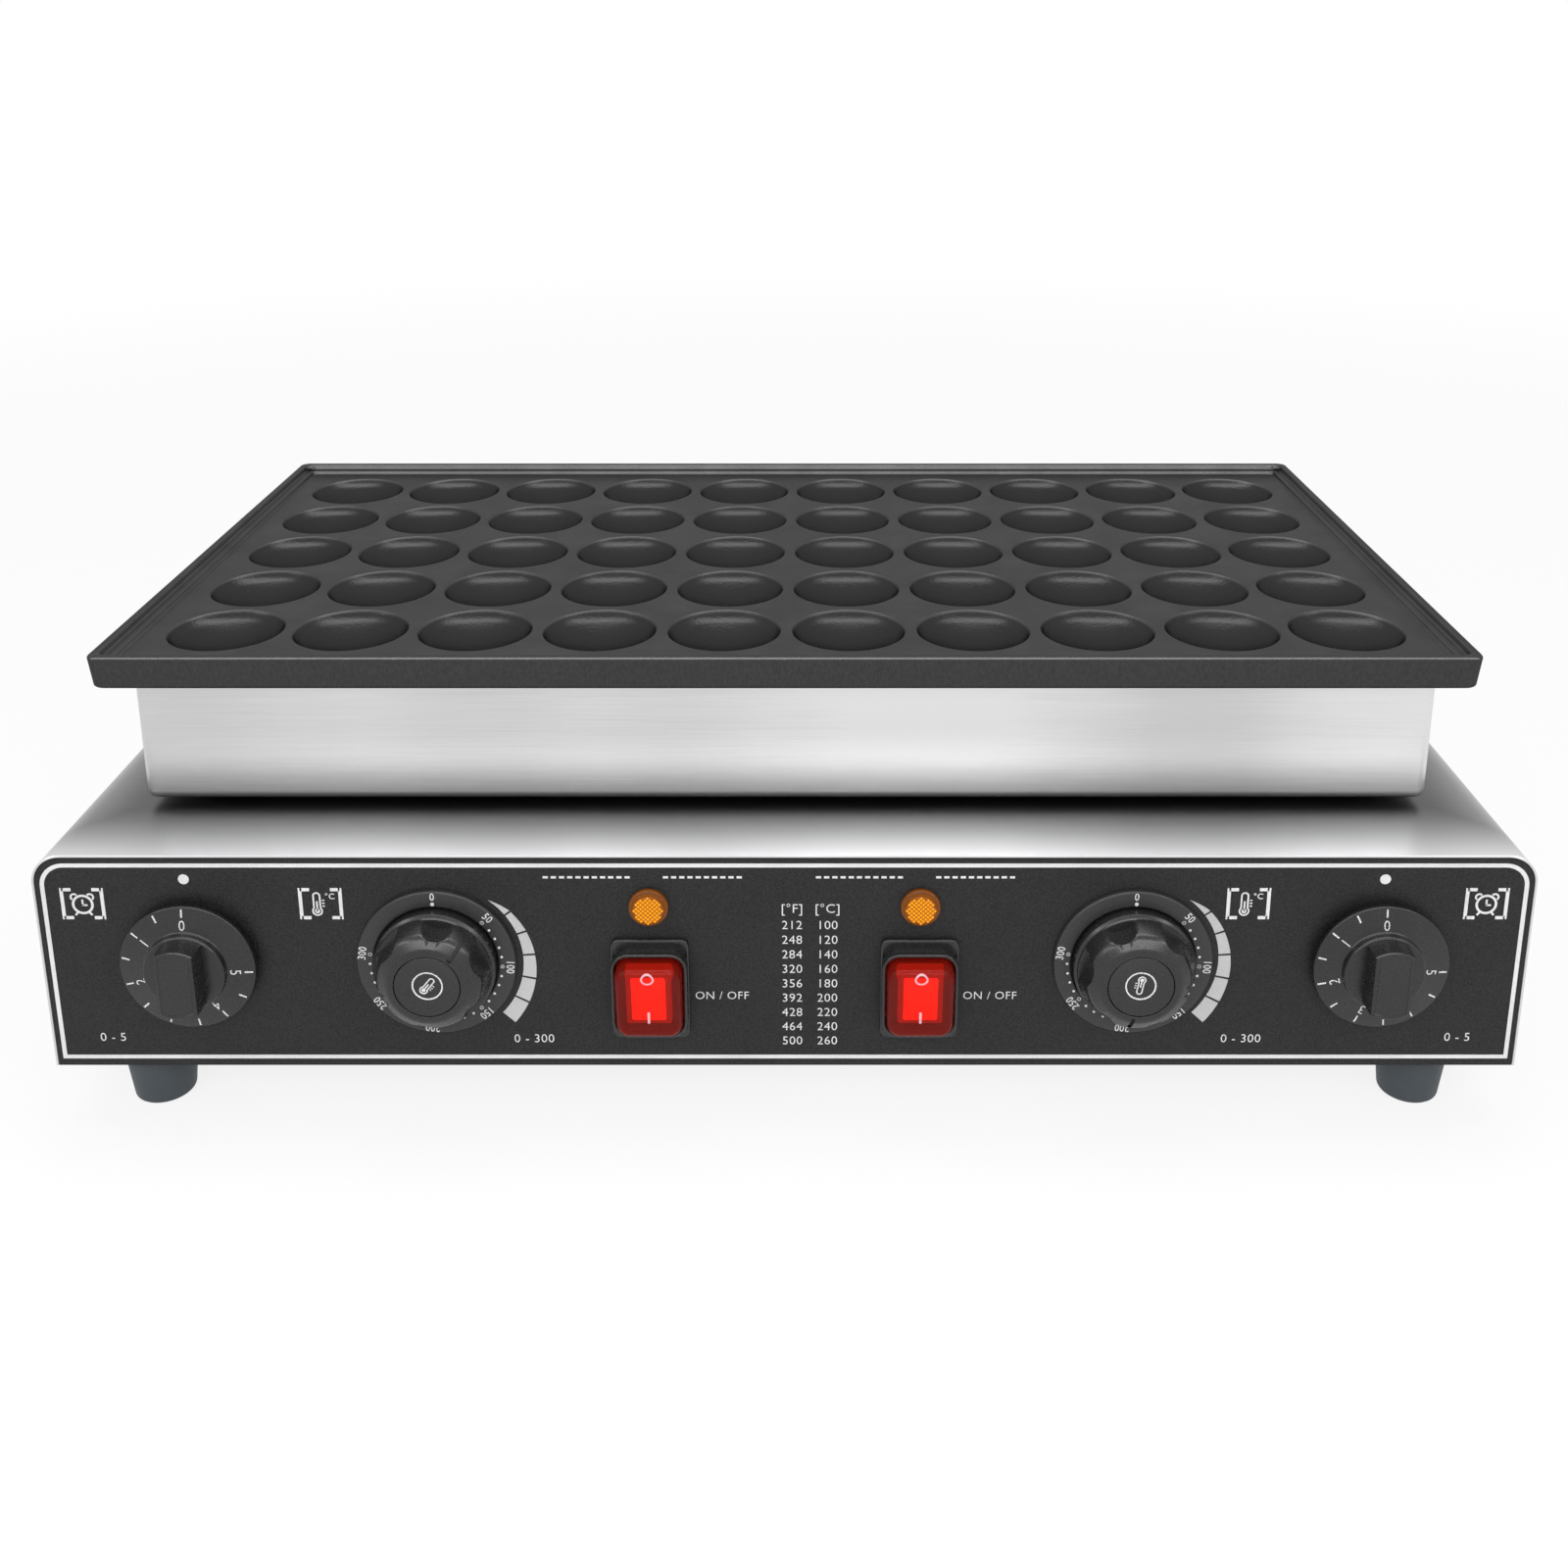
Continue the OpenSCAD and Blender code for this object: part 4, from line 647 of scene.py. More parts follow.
cup = bmesh.new()
lathe(cup, cup_section, cup_sides)
spokes = [2 * math.pi * i / cup_sides for i in range(cup_sides)]
reach = cup_section[-1][0]
bridge(cup, [[(reach * math.cos(a), reach * math.sin(a), 0) for a in spokes],
             [square_point(a) for a in spokes]])
print("cup depth", round(-cup_section[0][1], 1), "mm")

# %% [markdown]
# ## The griddle
# The grid tree lays out the cups. The rim is one section that walks round the field: land, a step to
# a ledge, a step to the lip, the outer wall with the draft that lets it leave its mould, and the
# underside. Its first loop has the same points as the field's border, so both weld into one casting.

# %% Rim section
rim_w = griddle_high.x - cups_across * cup_pitch / 2
rim_draft = 1.1
under_z = box_mm("left_heater")[1].z - land_z
rim_corners = [
    (0, 0, 0), (rim_w - 8.2, 0, 0.9), (rim_w - 7.6, 1.6, 0.7), (rim_w - 4.1, 1.6, 0.9),
    (rim_w - 3.4, lip_h, 0.7), (rim_w, lip_h, 1.0), (rim_w - rim_draft, lip_h - edge_h, 1.5),
    (0.5, lip_h - edge_h, 0), (0.5, under_z, 0)]
rim_section = soften([(d, z) for d, z, r in rim_corners], [r for d, z, r in rim_corners])
outer_corner_r, inner_corner_r, corner_steps = 4.0, 2.0, 8


def corner_spot(corner, turn, d):
    """A point a distance d out, round a corner. Outer loops have a larger radius than inner ones."""
    r = min(d, outer_corner_r if d > rim_w - 2 * inner_corner_r else inner_corner_r)
    return (corner[0] + d - r + r * math.cos(turn), corner[1] + d - r + r * math.sin(turn))


# %% Walk round the field
half_x, half_y = cups_across * cup_pitch / 2, cups_deep * cup_pitch / 2
side_steps = cup_sides // 4
cell_side = [cup_pitch / 2 * math.tan(math.pi / 2 * (k / side_steps - 0.5))
             for k in range(side_steps)]


def side_places(cells):
    starts = [(c - (cells - 1) / 2) * cup_pitch for c in range(cells)]
    return [start + step for start in starts for step in cell_side] + [cells * cup_pitch / 2]


columns = []
for turn in range(4):
    corner, cells = ((half_x, half_y), cups_deep) if turn % 2 == 0 else ((half_y, half_x), cups_across)
    sides = [[(corner[0] + d, along) for d, z in rim_section] for along in side_places(cells)]
    bends = [[corner_spot(corner, math.pi / 2 * k / corner_steps, d) for d, z in rim_section]
             for k in range(corner_steps + 1)]
    quarter = Matrix.Rotation(turn * math.pi / 2, 2)
    columns += [[quarter @ Vector(spot) for spot in column] for column in sides + bends]
print("rim columns", len(columns))

# %% Weld field and rim
casting = grow(grid_tree, cup, griddle_coat, Columns=cups_across, Rows=cups_deep,
               Pitch=cup_pitch, Reach=2 * half_x)
rows = [[(*column[i], z) for column in columns] for i, (d, z) in enumerate(rim_section)]
rings = bridge(casting, rows)
casting.faces.new(rings[-1])
weld(casting)
lip_highlight_layer, wall_layer, dish_layer = [
    casting.verts.layers.float.new(name) for name in ("lip_highlight", "outer_wall", "dish")]
for vert in casting.verts:
    out = max(abs(vert.co.x) - half_x, abs(vert.co.y) - half_y)
    # outer_wall and dish also mark where the coat is painted darker, as painted shade
    vert[wall_layer] = float(out > rim_w - 1.4)
    vert[dish_layer] = float(out < -1.0 and vert.co.z < -0.7)
    # a painted highlight along the top edge of the lip
    vert[lip_highlight_layer] = 0.7 if out > rim_w - 0.7 and vert.co.z > lip_h - 0.7 else 0.0
make_piece("griddle_casting", casting, griddle_coat,
           Matrix.Translation((0, griddle_y, land_z)), ["griddle_plate"], sharp=50)

# %% [markdown]
# ## The housing
# Under the griddle stands a tray of brushed sheet with softly rounded corners. It is drawn as one
# loop of rounded rectangle that walks along the sheet's own section: floor, bend, wall, edge, and
# back down the inside.

# %% Housing
housing_w = housing_high.x - housing_low.x
housing_d = housing_high.y - housing_low.y
housing_h = housing_high.z - housing_low.z
tray_r, tray_t, floor_inset = 4.0, 1.0, 60.0
tray_section = soften(
    [(floor_inset, 0), (0, 0), (0, housing_h), (tray_t, housing_h), (tray_t, tray_t),
     (floor_inset, tray_t)], [0, tray_r, 0.2, 0.2, tray_r - tray_t, 0])


def housing_outline(inset):
    return soft_rectangle(housing_w - 2 * inset, housing_d - 2 * inset, max(tray_r - inset, 0.5))


tray = bmesh.new()
stack(tray, tray_section, housing_outline)
make_piece("housing_tray", tray, housing_steel,
           Matrix.Translation((0, griddle_y, housing_low.z)), ["upper_housing"])

# %% [markdown]
# ## The base
# The base is one sheet bent over at both sides, so its section is an arch that runs from the
# front to the back. Its front edge frames the control panel with a bright line, and that line only
# catches light if the edge is rounded a little.

# %% Base sheet
bend_r, base_sheet, edge_round = 11.5, 1.0, 0.25


def arch(inset, foot=0.0, wider=0.0, steps=14, closed=False):
    """The section of the base, shrunk by an inset, with bends that may be a little wider."""
    half_w, high, r = base_w / 2 - inset, base_h - inset, bend_r - inset + wider
    corners = [(half_w, foot), (half_w, high), (-half_w, high), (-half_w, foot)]
    return soften(corners, [0, r, r, 0], steps, closed)


def sheet_ring(shrink):
    outer, inner = arch(shrink), arch(base_sheet - shrink)
    return outer + inner[::-1]


wrap = bmesh.new()
stations = [(panel_y, edge_round), (panel_y + edge_round, 0),
            (rear_y - edge_round, 0), (rear_y, edge_round)]
rings = bridge(wrap, [[(x, y, z) for x, z in sheet_ring(shrink)] for y, shrink in stations])
for ring in (rings[0], rings[-1]):
    half = len(ring) // 2
    for i in range(half - 1):
        wrap.faces.new((ring[i], ring[i + 1], ring[-2 - i], ring[-1 - i]))
flange_w, flange_setback = 14.0, 3.0
flange_x = base_w / 2 - base_sheet
for low_x, high_x in ((-flange_x, flange_w - flange_x), (flange_x - flange_w, flange_x)):
    brick(wrap, (low_x, panel_y + flange_setback, base_sheet),
          (high_x, rear_y - flange_setback, 2 * base_sheet))
make_piece("base_wrap", wrap, base_steel,
           Matrix.Translation((0, 0, base_low.z)), ["base_shell"])

# %% [markdown]
# ## Print on the panel
# Print is modelled as a thin coat with its own thickness, so it stays sharp in every view and needs
# no picture. Bars, rings and characters are collected in one flat mesh in the panel's own plane, and
# the mesh is stood up against the film at the end.

# %% Ink
ink_t = 0.06


def flat_shape(mesh, outline):
    """A thin plate with this outline."""
    stack(mesh, [(0, 0), (0, ink_t)], lambda inset: outline)


def bar(mesh, start, end, width):
    start, end = Vector(start), Vector(end)
    side = (end - start).normalized().orthogonal() * width / 2
    flat_shape(mesh, [start - side, end - side, end + side, start + side])


def hoop(mesh, centre, radius, width, start=0.0, end=360.0, steps=32, swell=0.0):
    """A ring or part of one, clockwise from the top, that may grow wider on the way."""
    def ring_point(r, k):
        angle = math.radians(start + (end - start) * k / steps)
        return (centre[0] + r * math.sin(angle), centre[1] + r * math.cos(angle))
    for k in range(steps):
        widths = [width + swell * j / steps for j in (k, k + 1)]
        flat_shape(mesh, [ring_point(radius, k), ring_point(radius, k + 1),
                          ring_point(radius + widths[1], k + 1), ring_point(radius + widths[0], k)])


def disc(mesh, centre, radius, sides=24):
    flat_shape(mesh, [(centre[0] + radius * math.cos(2 * math.pi * k / sides),
                       centre[1] + radius * math.sin(2 * math.pi * k / sides)) for k in range(sides)])


def lettering(mesh, text, size, at, turn=0.0, narrow=1.0):
    """Characters centred on a place, turned clockwise, and drawn narrower than usual if need be."""
    curve = bpy.data.curves.new("lettering", "FONT")
    curve.body, curve.size, curve.extrude, curve.resolution_u = text, size, ink_t / 2, 3
    curve.align_x, curve.align_y = "CENTER", "CENTER"
    curve.offset, curve.space_character = -0.03 if size > 4.5 else 0.02, 1.06
    holder = bpy.data.objects.new("lettering", curve)
    scene.collection.objects.link(holder)
    spin = Matrix.Rotation(math.radians(-turn), 4, "Z") @ Matrix.Diagonal((narrow, 1, 1, 1))
    add_mesh(mesh, take_result(holder), Matrix.Translation((*at, ink_t / 2)) @ spin)


# %% Border line
line_inset, line_w, line_wider = 3.1, 1.6, 0.8
outer, inner = [arch(inset, inset, line_wider, 10, closed=True)
                for inset in (line_inset, line_inset + line_w)]
border = bmesh.new()
bridge(border, [[(x, z, w) for x, z in outline] for outline, w in
                ((outer, 0), (outer, ink_t), (inner, ink_t), (inner, 0), (outer, 0))])
make_piece("panel_border", border, silver_ink, panel_foot)

# %% [markdown]
# The panel carries plain signs: a dot over each timer, a clock and a thermometer in brackets, a
# wedge that grows with the heat, and a short list of temperatures in both scales. All of them are
# bars, hoops and numbers, so a handful of helpers draws them.


# %% Signs
def brackets(mesh, at, w, h, line):
    for side in (-1, 1):
        x = at[0] + side * (w - line) / 2
        bar(mesh, (x, at[1] - h / 2), (x, at[1] + h / 2), line)
        for end in (-1, 1):
            y = at[1] + end * (h - line) / 2
            bar(mesh, (x, y), (x - side * 0.22 * w, y), line)


def clock_sign(mesh, at):
    x, y = at
    brackets(mesh, at, 16.0, 12.8, 1.3)
    hoop(mesh, (x, y - 0.3), 3.1, 0.9)
    bar(mesh, (x, y - 0.8), (x, y + 1.7), 0.7)
    bar(mesh, (x - 0.35, y - 0.6), (x + 1.7, y - 0.6), 0.7)
    for side in (-1, 1):
        hoop(mesh, (x + side * 2.9, y + 2.7), 0.9, 0.7, side * 45 - 95, side * 45 + 95, 12)
        bar(mesh, (x + side * 2.2, y - 3.6), (x + side * 3.1, y - 4.7), 0.8)


def thermometer(mesh, at, scale, turn):
    """A tube, a bulb and three steps, turned clockwise."""
    sign = bmesh.new()
    hoop(sign, (0, 3.2), 0.9, 0.6, -90, 90, 12)
    for side in (-1, 1):
        bar(sign, (side * 1.2, -1.6), (side * 1.2, 3.2), 0.6)
    hoop(sign, (0, -3.0), 1.4, 0.6, 40, 320, 24)
    disc(sign, (0, -3.0), 0.95)
    bar(sign, (0, -3.0), (0, 1.0), 0.6)
    for k in range(3):
        bar(sign, (1.9, -1.0 + 1.2 * k), (2.8, -1.0 + 1.2 * k), 0.45)
    spin = Matrix.Rotation(math.radians(-turn), 4, "Z") @ Matrix.Diagonal((scale, scale, 1, 1))
    add_mesh(mesh, sign, Matrix.Translation((*at, 0)) @ spin)


def heat_sign(mesh, at):
    brackets(mesh, at, 16.0, 12.8, 1.3)
    thermometer(mesh, (at[0] - 1.4, at[1]), 1.0, 0)
    lettering(mesh, "°C", 3.3, (at[0] + 3.5, at[1] + 2.9))


# %% Panel print
timer_at, heat_at, switch_at, lamp_at = [
    {side: middle(side + part) for side in SIDES}
    for part in ("_timer_knob", "_heat_knob", "_switch_frame", "_lamp")]
sign_z, dot_z, label_z = 68.5, 78.5, 12.2
signs = bmesh.new()
for side, out in zip(SIDES, (-1, 1)):
    disc(signs, (timer_at[side].x, dot_z), 2.0)
    clock_sign(signs, (out * 258.0, sign_z))
    heat_sign(signs, (out * 170.5, sign_z))
    lettering(signs, "0 - 5", 5.0, (out * 253.0, label_z))
    lettering(signs, "ON / OFF", 4.6, (switch_at[side].x + 26.5, switch_at[side].z - base_low.z - 4))
    for first, dashes in ((-38.5, 11), (5.5, 10)):
        for k in range(dashes):
            dash_x = lamp_at[side].x + first + 3.0 * k
            bar(signs, (dash_x, dot_z + 0.8), (dash_x + 1.9, dot_z + 0.8), 0.9)
lettering(signs, "0 - 300", 5.0, (heat_at["left"].x + 34.5, label_z - 0.6))
lettering(signs, "0 - 300", 5.0, (heat_at["right"].x + 42.5, label_z - 0.6))
print("signs drawn")

# %% Wedge gauges and list of temperatures
wedge_r, wedge_w, wedge_from, wedge_to, wedge_steps, half_gap = 32.0, 6.2, 38.0, 134.0, 6, 0.65
wedges = bmesh.new()
for side in SIDES:
    centre = (heat_at[side].x, heat_at[side].z - base_low.z)
    for k in range(wedge_steps):
        start, end = [wedge_from + (wedge_to - wedge_from) * j / wedge_steps for j in (k, k + 1)]
        low_w, high_w = [wedge_w * math.sqrt(j / wedge_steps) for j in (k, k + 1)]
        hoop(wedges, centre, wedge_r, low_w, start + half_gap, end - half_gap, 8, high_w - low_w)
make_piece("panel_wedges", wedges, grey_ink, panel_foot)
column_x, list_top, list_step, list_size = (2.7, 15.8), 66.3, 6.1, 5.0
lettering(signs, "[°F]", 5.2, (column_x[0], list_top))
lettering(signs, "[°C]", 5.2, (column_x[1], list_top))
for k in range(9):
    celsius = 100 + 20 * k
    row_z = list_top - 6.8 - k * list_step
    lettering(signs, str(celsius * 9 // 5 + 32), list_size, (column_x[0], row_z))
    lettering(signs, str(celsius), list_size, (column_x[1], row_z))
make_piece("panel_print", signs, white_ink, panel_foot)

# %% [markdown]
# ## Timer knobs
# A timer knob is one moulding: a disc with a sloped face for the numbers, a round hub, and
# a grip bar across it with ribbed flanks. The disc and hub come off the lathe and the bar is a
# stack of loops. The numbers turn with the knob, so their print rides on the same body.

# %% Knob shapes
disc_r, disc_low, disc_rim, disc_top = 25.0, 3.0, 5.0, 6.6
hub_r, hub_top, bar_w, bar_r, bar_top = 15.0, 9.5, 14.4, 13.8, 18.0


def disc_height(r):
    """Height of the sloped face over the panel."""
    return disc_rim + (disc_top - disc_rim) * (disc_r - r) / (disc_r - hub_r)


def bar_outline(inset):
    half_w, r = bar_w / 2 - inset, bar_r - inset
    lean = math.asin(half_w / r)
    ends = [(r * math.sin(lean * k / 6), r * math.cos(lean * k / 6)) for k in range(-6, 7)]
    return ends + [(-x, -y) for x, y in ends]


rib_h, rib_l, rib_pitch, rib_count = 0.6, 7.2, 6.2, 4
timer_step, timer_marks = 26.6, 11


def timer_knob_mesh():
    knob = turning(
        [(0, disc_low), (disc_r, disc_low), (disc_r, disc_rim), (hub_r + 0.3, disc_top),
         (hub_r, hub_top), (0, hub_top)], [0, 0.4, 0.6, 0.9, 1.0, 0])
    levels = [(-0.5, hub_top - 0.6), (-0.1, hub_top + 0.6), (0.0, bar_top - 1.2),
              (0.12, bar_top - 0.6), (0.4, bar_top - 0.2), (0.9, bar_top), (1.4, bar_top),
              (1.7, bar_top - 0.4)]
    stack(knob, levels, bar_outline)
    for flank in (-1, 1):
        for k in range(rib_count):
            up = (k - (rib_count - 1) / 2) * rib_pitch
            rib = [(flank * (bar_w / 2 - 0.15 + rib_h * math.sin(a)), up + 0.5 * math.cos(a))
                   for a in (0, 0.8, 1.57, 2.34, 3.14)]
            stack(knob, [(0, hub_top - 0.3), (0, hub_top + rib_l)], lambda inset: rib)
    return knob


# %% Timer knobs and their numbers
def lie_on(mesh, height):
    """Lifts flat print onto a turned face."""
    for vert in mesh.verts:
        vert.co.z += height(math.hypot(vert.co.x, vert.co.y))


def number_round(mesh, number, size, radius, turn, narrow):
    """A number on a circle, with its foot towards the middle."""
    angle = math.radians(turn)
    at = (radius * math.sin(angle), radius * math.cos(angle))
    lettering(mesh, str(number), size, at, turn, narrow)


tick_l, tick_w, tick_r = 3.0, 0.6, disc_r - 2.4
timer_number_r, timer_number_size = disc_r - 7.2, 5.6
for side in SIDES:
    body = side + "_timer_dial"
    place = on_panel(timer_at[side])
    make_piece(side + "_timer_grip", timer_knob_mesh(), dial_black, place,
               [side + "_timer_knob"], body)
    tick = bmesh.new()
    bar(tick, (0, -tick_l / 2), (0, tick_l / 2), tick_w)
    marks = grow(round_tree, tick, white_ink, Count=timer_marks, Radius=tick_r,
                 First=0.0, Step=-timer_step)
    for number in range(6):
        number_round(marks, number, timer_number_size, timer_number_r, -2 * timer_step * number, 0.9)
    lie_on(marks, disc_height)
    make_piece(side + "_timer_print", marks, white_ink, place, body=body)

# %% [markdown]
# ## Temperature knobs
# The temperature knob has six finger hollows. They could be cut with six cylinders and a boolean,
# but the lathe can do it while it turns: wherever a hollow reaches further in than the knob's own
# section, the hollow's radius wins. Only the pointer groove is cut, with one small block.

# %% Fluted knob
knob_foot_r, knob_face_r, knob_low, knob_foot_h, knob_top = 22.6, 19.0, 1.0, 6.0, 18.0
flutes, flute_r, flute_depth, flute_floor = 6, 9.0, 1.6, 7.6
flute_centre = knob_face_r - flute_depth + flute_r
cap_r, cap_depth = 12.0, 3.0
seat_r = cap_r + 0.2
groove_from, groove_to, groove_w = 13.2, 19.4, 1.6


def fluted(radius, height, angle):
    if height < flute_floor:
        return radius
    step = 2 * math.pi / flutes
    off = (angle + step / 2) % step - step / 2
    inside = flute_r ** 2 - (flute_centre * math.sin(off)) ** 2
    if inside <= 0:
        return radius
    hollow = flute_centre * math.cos(off) - math.sqrt(inside)
    return min(radius, hollow + max(0.0, radius - knob_face_r) * 0.35)


def carve(body, cutter):
    """Cuts one closed mesh out of another."""
    weld(body)
    weld(cutter)
    target, tool = as_object("carved", body), as_object("cutter", cutter)
    modifier = target.modifiers.new("carve", "BOOLEAN")
    modifier.object, modifier.operation, modifier.solver = tool, "DIFFERENCE", "EXACT"
    return take_result(target, tool)


def heat_knob_mesh():
    knob = bmesh.new()
    section = soften(
        [(0, knob_low), (knob_foot_r, knob_low), (knob_foot_r, knob_foot_h),
         (knob_foot_r - 1.0, knob_foot_h + 0.9), (knob_foot_r - 1.3, flute_floor - 0.05)],
        [0, 0.4, 0.5, 0.3, 0])
    section += [(knob_foot_r - 1.3 - 0.1 * k, flute_floor + 0.02 + 0.5 * k) for k in range(3)]
    section += soften(
        [(knob_foot_r - 1.6, flute_floor + 1.6), (knob_face_r, knob_top - 3.0),
         (knob_face_r - 4.5, knob_top), (seat_r, knob_top), (seat_r, knob_top - cap_depth),
         (0, knob_top - cap_depth)],
        [0, 4.5, 4.0, 0.25, 0, 0], 8)
    lathe(knob, section, 180, shape=fluted)
    groove = bmesh.new()
    slope = [(groove_from, knob_top - 1.2), (groove_to, knob_top - 4.8),
             (groove_to, knob_top + 1), (groove_from, knob_top + 1)]
    sides = bridge(groove, [[(x, y, z) for y, z in slope] for x in (-groove_w / 2, groove_w / 2)])
    for loop in sides:
        groove.faces.new(loop)
    return carve(knob, groove)


# %% Cap
cap_dish_r, cap_dish = 52.0, 1.3


def cap_height(r):
    """Height of the dished face over the panel."""
    return knob_top - cap_dish + cap_dish_r - math.sqrt(cap_dish_r ** 2 - r ** 2)


def cap_mesh():
    cap = bmesh.new()
    dish_edge = math.sqrt(cap_dish_r ** 2 - (cap_dish_r - cap_dish) ** 2)
    dish = [(r, cap_height(r)) for r in (dish_edge * k / 8 for k in range(8))]
    rim = soften([(dish_edge, knob_top), (cap_r, knob_top), (cap_r, knob_top - cap_depth),
                  (0, knob_top - cap_depth)], [0, 0.5, 0, 0])
    lathe(cap, dish + rim)
    return cap


# %% Temperature knobs, caps and rings
heat_turn = {"left": 39.0, "right": 190.0}
ring_r, ring_inner_r, ring_t = 29.5, 23.2, 2.2
degrees_per_unit = 0.93
dot_ring_r, number_ring_r, scale_number_size = 24.5, 27.3, 4.2
for side in SIDES:
    body = side + "_heat_dial"
    flat = on_panel(heat_at[side])
    turned = flat @ Matrix.Rotation(math.radians(-heat_turn[side]), 4, "Z")
    make_piece(side + "_heat_grip", heat_knob_mesh(), dial_black, turned,
               [side + "_heat_knob"], body, sharp=38)
    make_piece(side + "_heat_cap", cap_mesh(), dial_black, turned,
               [side + "_knob_cap"], body)
    sign = bmesh.new()
    hoop(sign, (0, 0), 5.1, 0.55, steps=48)
    thermometer(sign, (0, 0), 0.78, 0)
    lie_on(sign, cap_height)
    make_piece(side + "_cap_print", sign, white_ink, turned, body=body)

# %% [markdown]
# The scale ring stays on the panel. Its dots are copies round an axis: a large one for each
# number, and four small ones between the numbers from 50 upwards.

# %% Scale rings
for side in SIDES:
    flat = on_panel(heat_at[side])
    ring = turning([(ring_inner_r, 0), (ring_r, 0), (ring_r, ring_t), (ring_inner_r, ring_t)],
                   [0, 0, 0.9, 0.4], 120, closed=True)
    make_piece(side + "_scale_band", ring, ring_black, flat,
               [side + "_scale_ring"])
    scale = bmesh.new()
    for radius, count, first, step in ((0.75, 7, 0.0, 50.0), (0.5, 26, 50.0, 10.0)):
        dot = bmesh.new()
        disc(dot, (0, 0), radius, 14)
        add_mesh(scale, grow(round_tree, dot, white_ink, Count=count, Radius=dot_ring_r,
                             First=first * degrees_per_unit, Step=step * degrees_per_unit))
    for number in range(0, 301, 50):
        number_round(scale, number, scale_number_size, number_ring_r, number * degrees_per_unit, 0.84)
    lie_on(scale, lambda r: ring_t)
    make_piece(side + "_scale_print", scale, white_ink, flat)

# %% [markdown]
# ## Switches
# Each switch has a flat black frame with a raised collar, and a clear red rocker in it. The rocker
# stands with its lower end pressed in. A glowing block sits inside the clear red, and the two
# marks are printed on its face.

# %% Switch frames
frame_w, frame_h, frame_t, collar_w, collar_h, collar_top = 29.0, 41.0, 2.0, 28.2, 34.8, 7.0


def frame_rows(section, w, h, r):
    """Loops of a rounded rectangle along a section of (inset, height)."""
    return [[(x, y, height) for x, y in soft_rectangle(w - 2 * inset, h - 2 * inset, r - inset)]
            for inset, height in section]


for side in SIDES:
    place = on_panel(switch_at[side])
    rim = bmesh.new()
    flange = soften([(0, 0), (0, frame_t), (1.2, frame_t)], [0, 0.6, 0])
    collar = soften([(0, frame_t), (0, collar_top), (1.4, collar_top), (1.4, 0)], [0, 0.6, 0.5, 0])
    rows = frame_rows(flange, frame_w, frame_h, 3.0) + frame_rows(collar, collar_w, collar_h, 6.4)
    bridge(rim, rows + rows[:1])
    make_piece(side + "_switch_bezel", rim, frame_black, place,
               [side + "_switch_frame"])

# %% Rockers
rocker_w, rocker_h, rocker_back, rocker_top, rocker_dip, rocker_tilt = 24.6, 30.0, 3.0, 12.0, 1.6, 7.0
pivot_h, shoulder_r, light_shift = 4.4, 2.6, 1.2


def valley(x, y):
    return -rocker_dip * (1 - abs(y) / (rocker_h / 2))


def rocker_face(x, y):
    """Height of the face, which rolls off at its shoulders."""
    short = shoulder_r - min(rocker_w / 2 - abs(x), rocker_h / 2 - abs(y), shoulder_r)
    return rocker_top + valley(x, y) - shoulder_r + math.sqrt(shoulder_r ** 2 - short ** 2)


def rocker_outline(inset):
    return soft_rectangle(rocker_w - 2 * inset, rocker_h - 2 * inset, max(5.0 - inset, 0.1), 7)


for side in SIDES:
    body = side + "_switch_rocker"
    pivot = Matrix.Translation((0, 0, pivot_h))
    tilt = pivot @ Matrix.Rotation(math.radians(rocker_tilt), 4, "X") @ pivot.inverted()
    place = on_panel(switch_at[side]) @ tilt
    rocker = bmesh.new()
    shell = soften([(0, rocker_back), (0, rocker_top), (4.0, rocker_top)], [0, shoulder_r, 0], 7)
    shell += [(inset, rocker_top) for inset in (6.0, 8.0, 10.0, 12.0)]
    stack(rocker, shell, rocker_outline, valley)
    make_piece(side + "_rocker_cover", rocker, clear_red, place, [side + "_rocker"], body)
    inside = place @ Matrix.Translation((0, light_shift, 0))
    # the carrier's finish has a dim painted glow; the light block is the rocker's lamp
    for name, finish, w, h, low, high in (("carrier", rocker_brown_painted_glow, 16.5, 22.5, 4.0, 8.4),
                                          ("light", red_glow, 12.6, 19.0, 8.4, 8.9)):
        block = bmesh.new()
        stack(block, [(0, low), (0, high - 0.3), (0.3, high)],
              lambda inset: soft_rectangle(w - 2 * inset, h - 2 * inset, 0.8))
        make_piece(side + "_rocker_" + name, block, finish, inside, body=body)
    marks = bmesh.new()
    hoop(marks, (0, 11.9), 1.8, 0.7)
    bar(marks, (0, -8.2), (0, -3.6), 0.9)
    for vert in marks.verts:
        vert.co.z += rocker_face(vert.co.x, vert.co.y)
    make_piece(side + "_rocker_marks", marks, pink_ink, place, body=body)

# %% [markdown]
# ## Pilot lamps
# A pilot lamp is a clear amber moulding with a rim and a lens full of small diamonds, which throw
# the light of the bulb about. In the lens's finish that light is a painted glow on the diamond tips,
# with painted shade in the grooves and on the rim. The diamonds are copies of one pyramid on a
# turned grid, and only those inside the lens are kept.

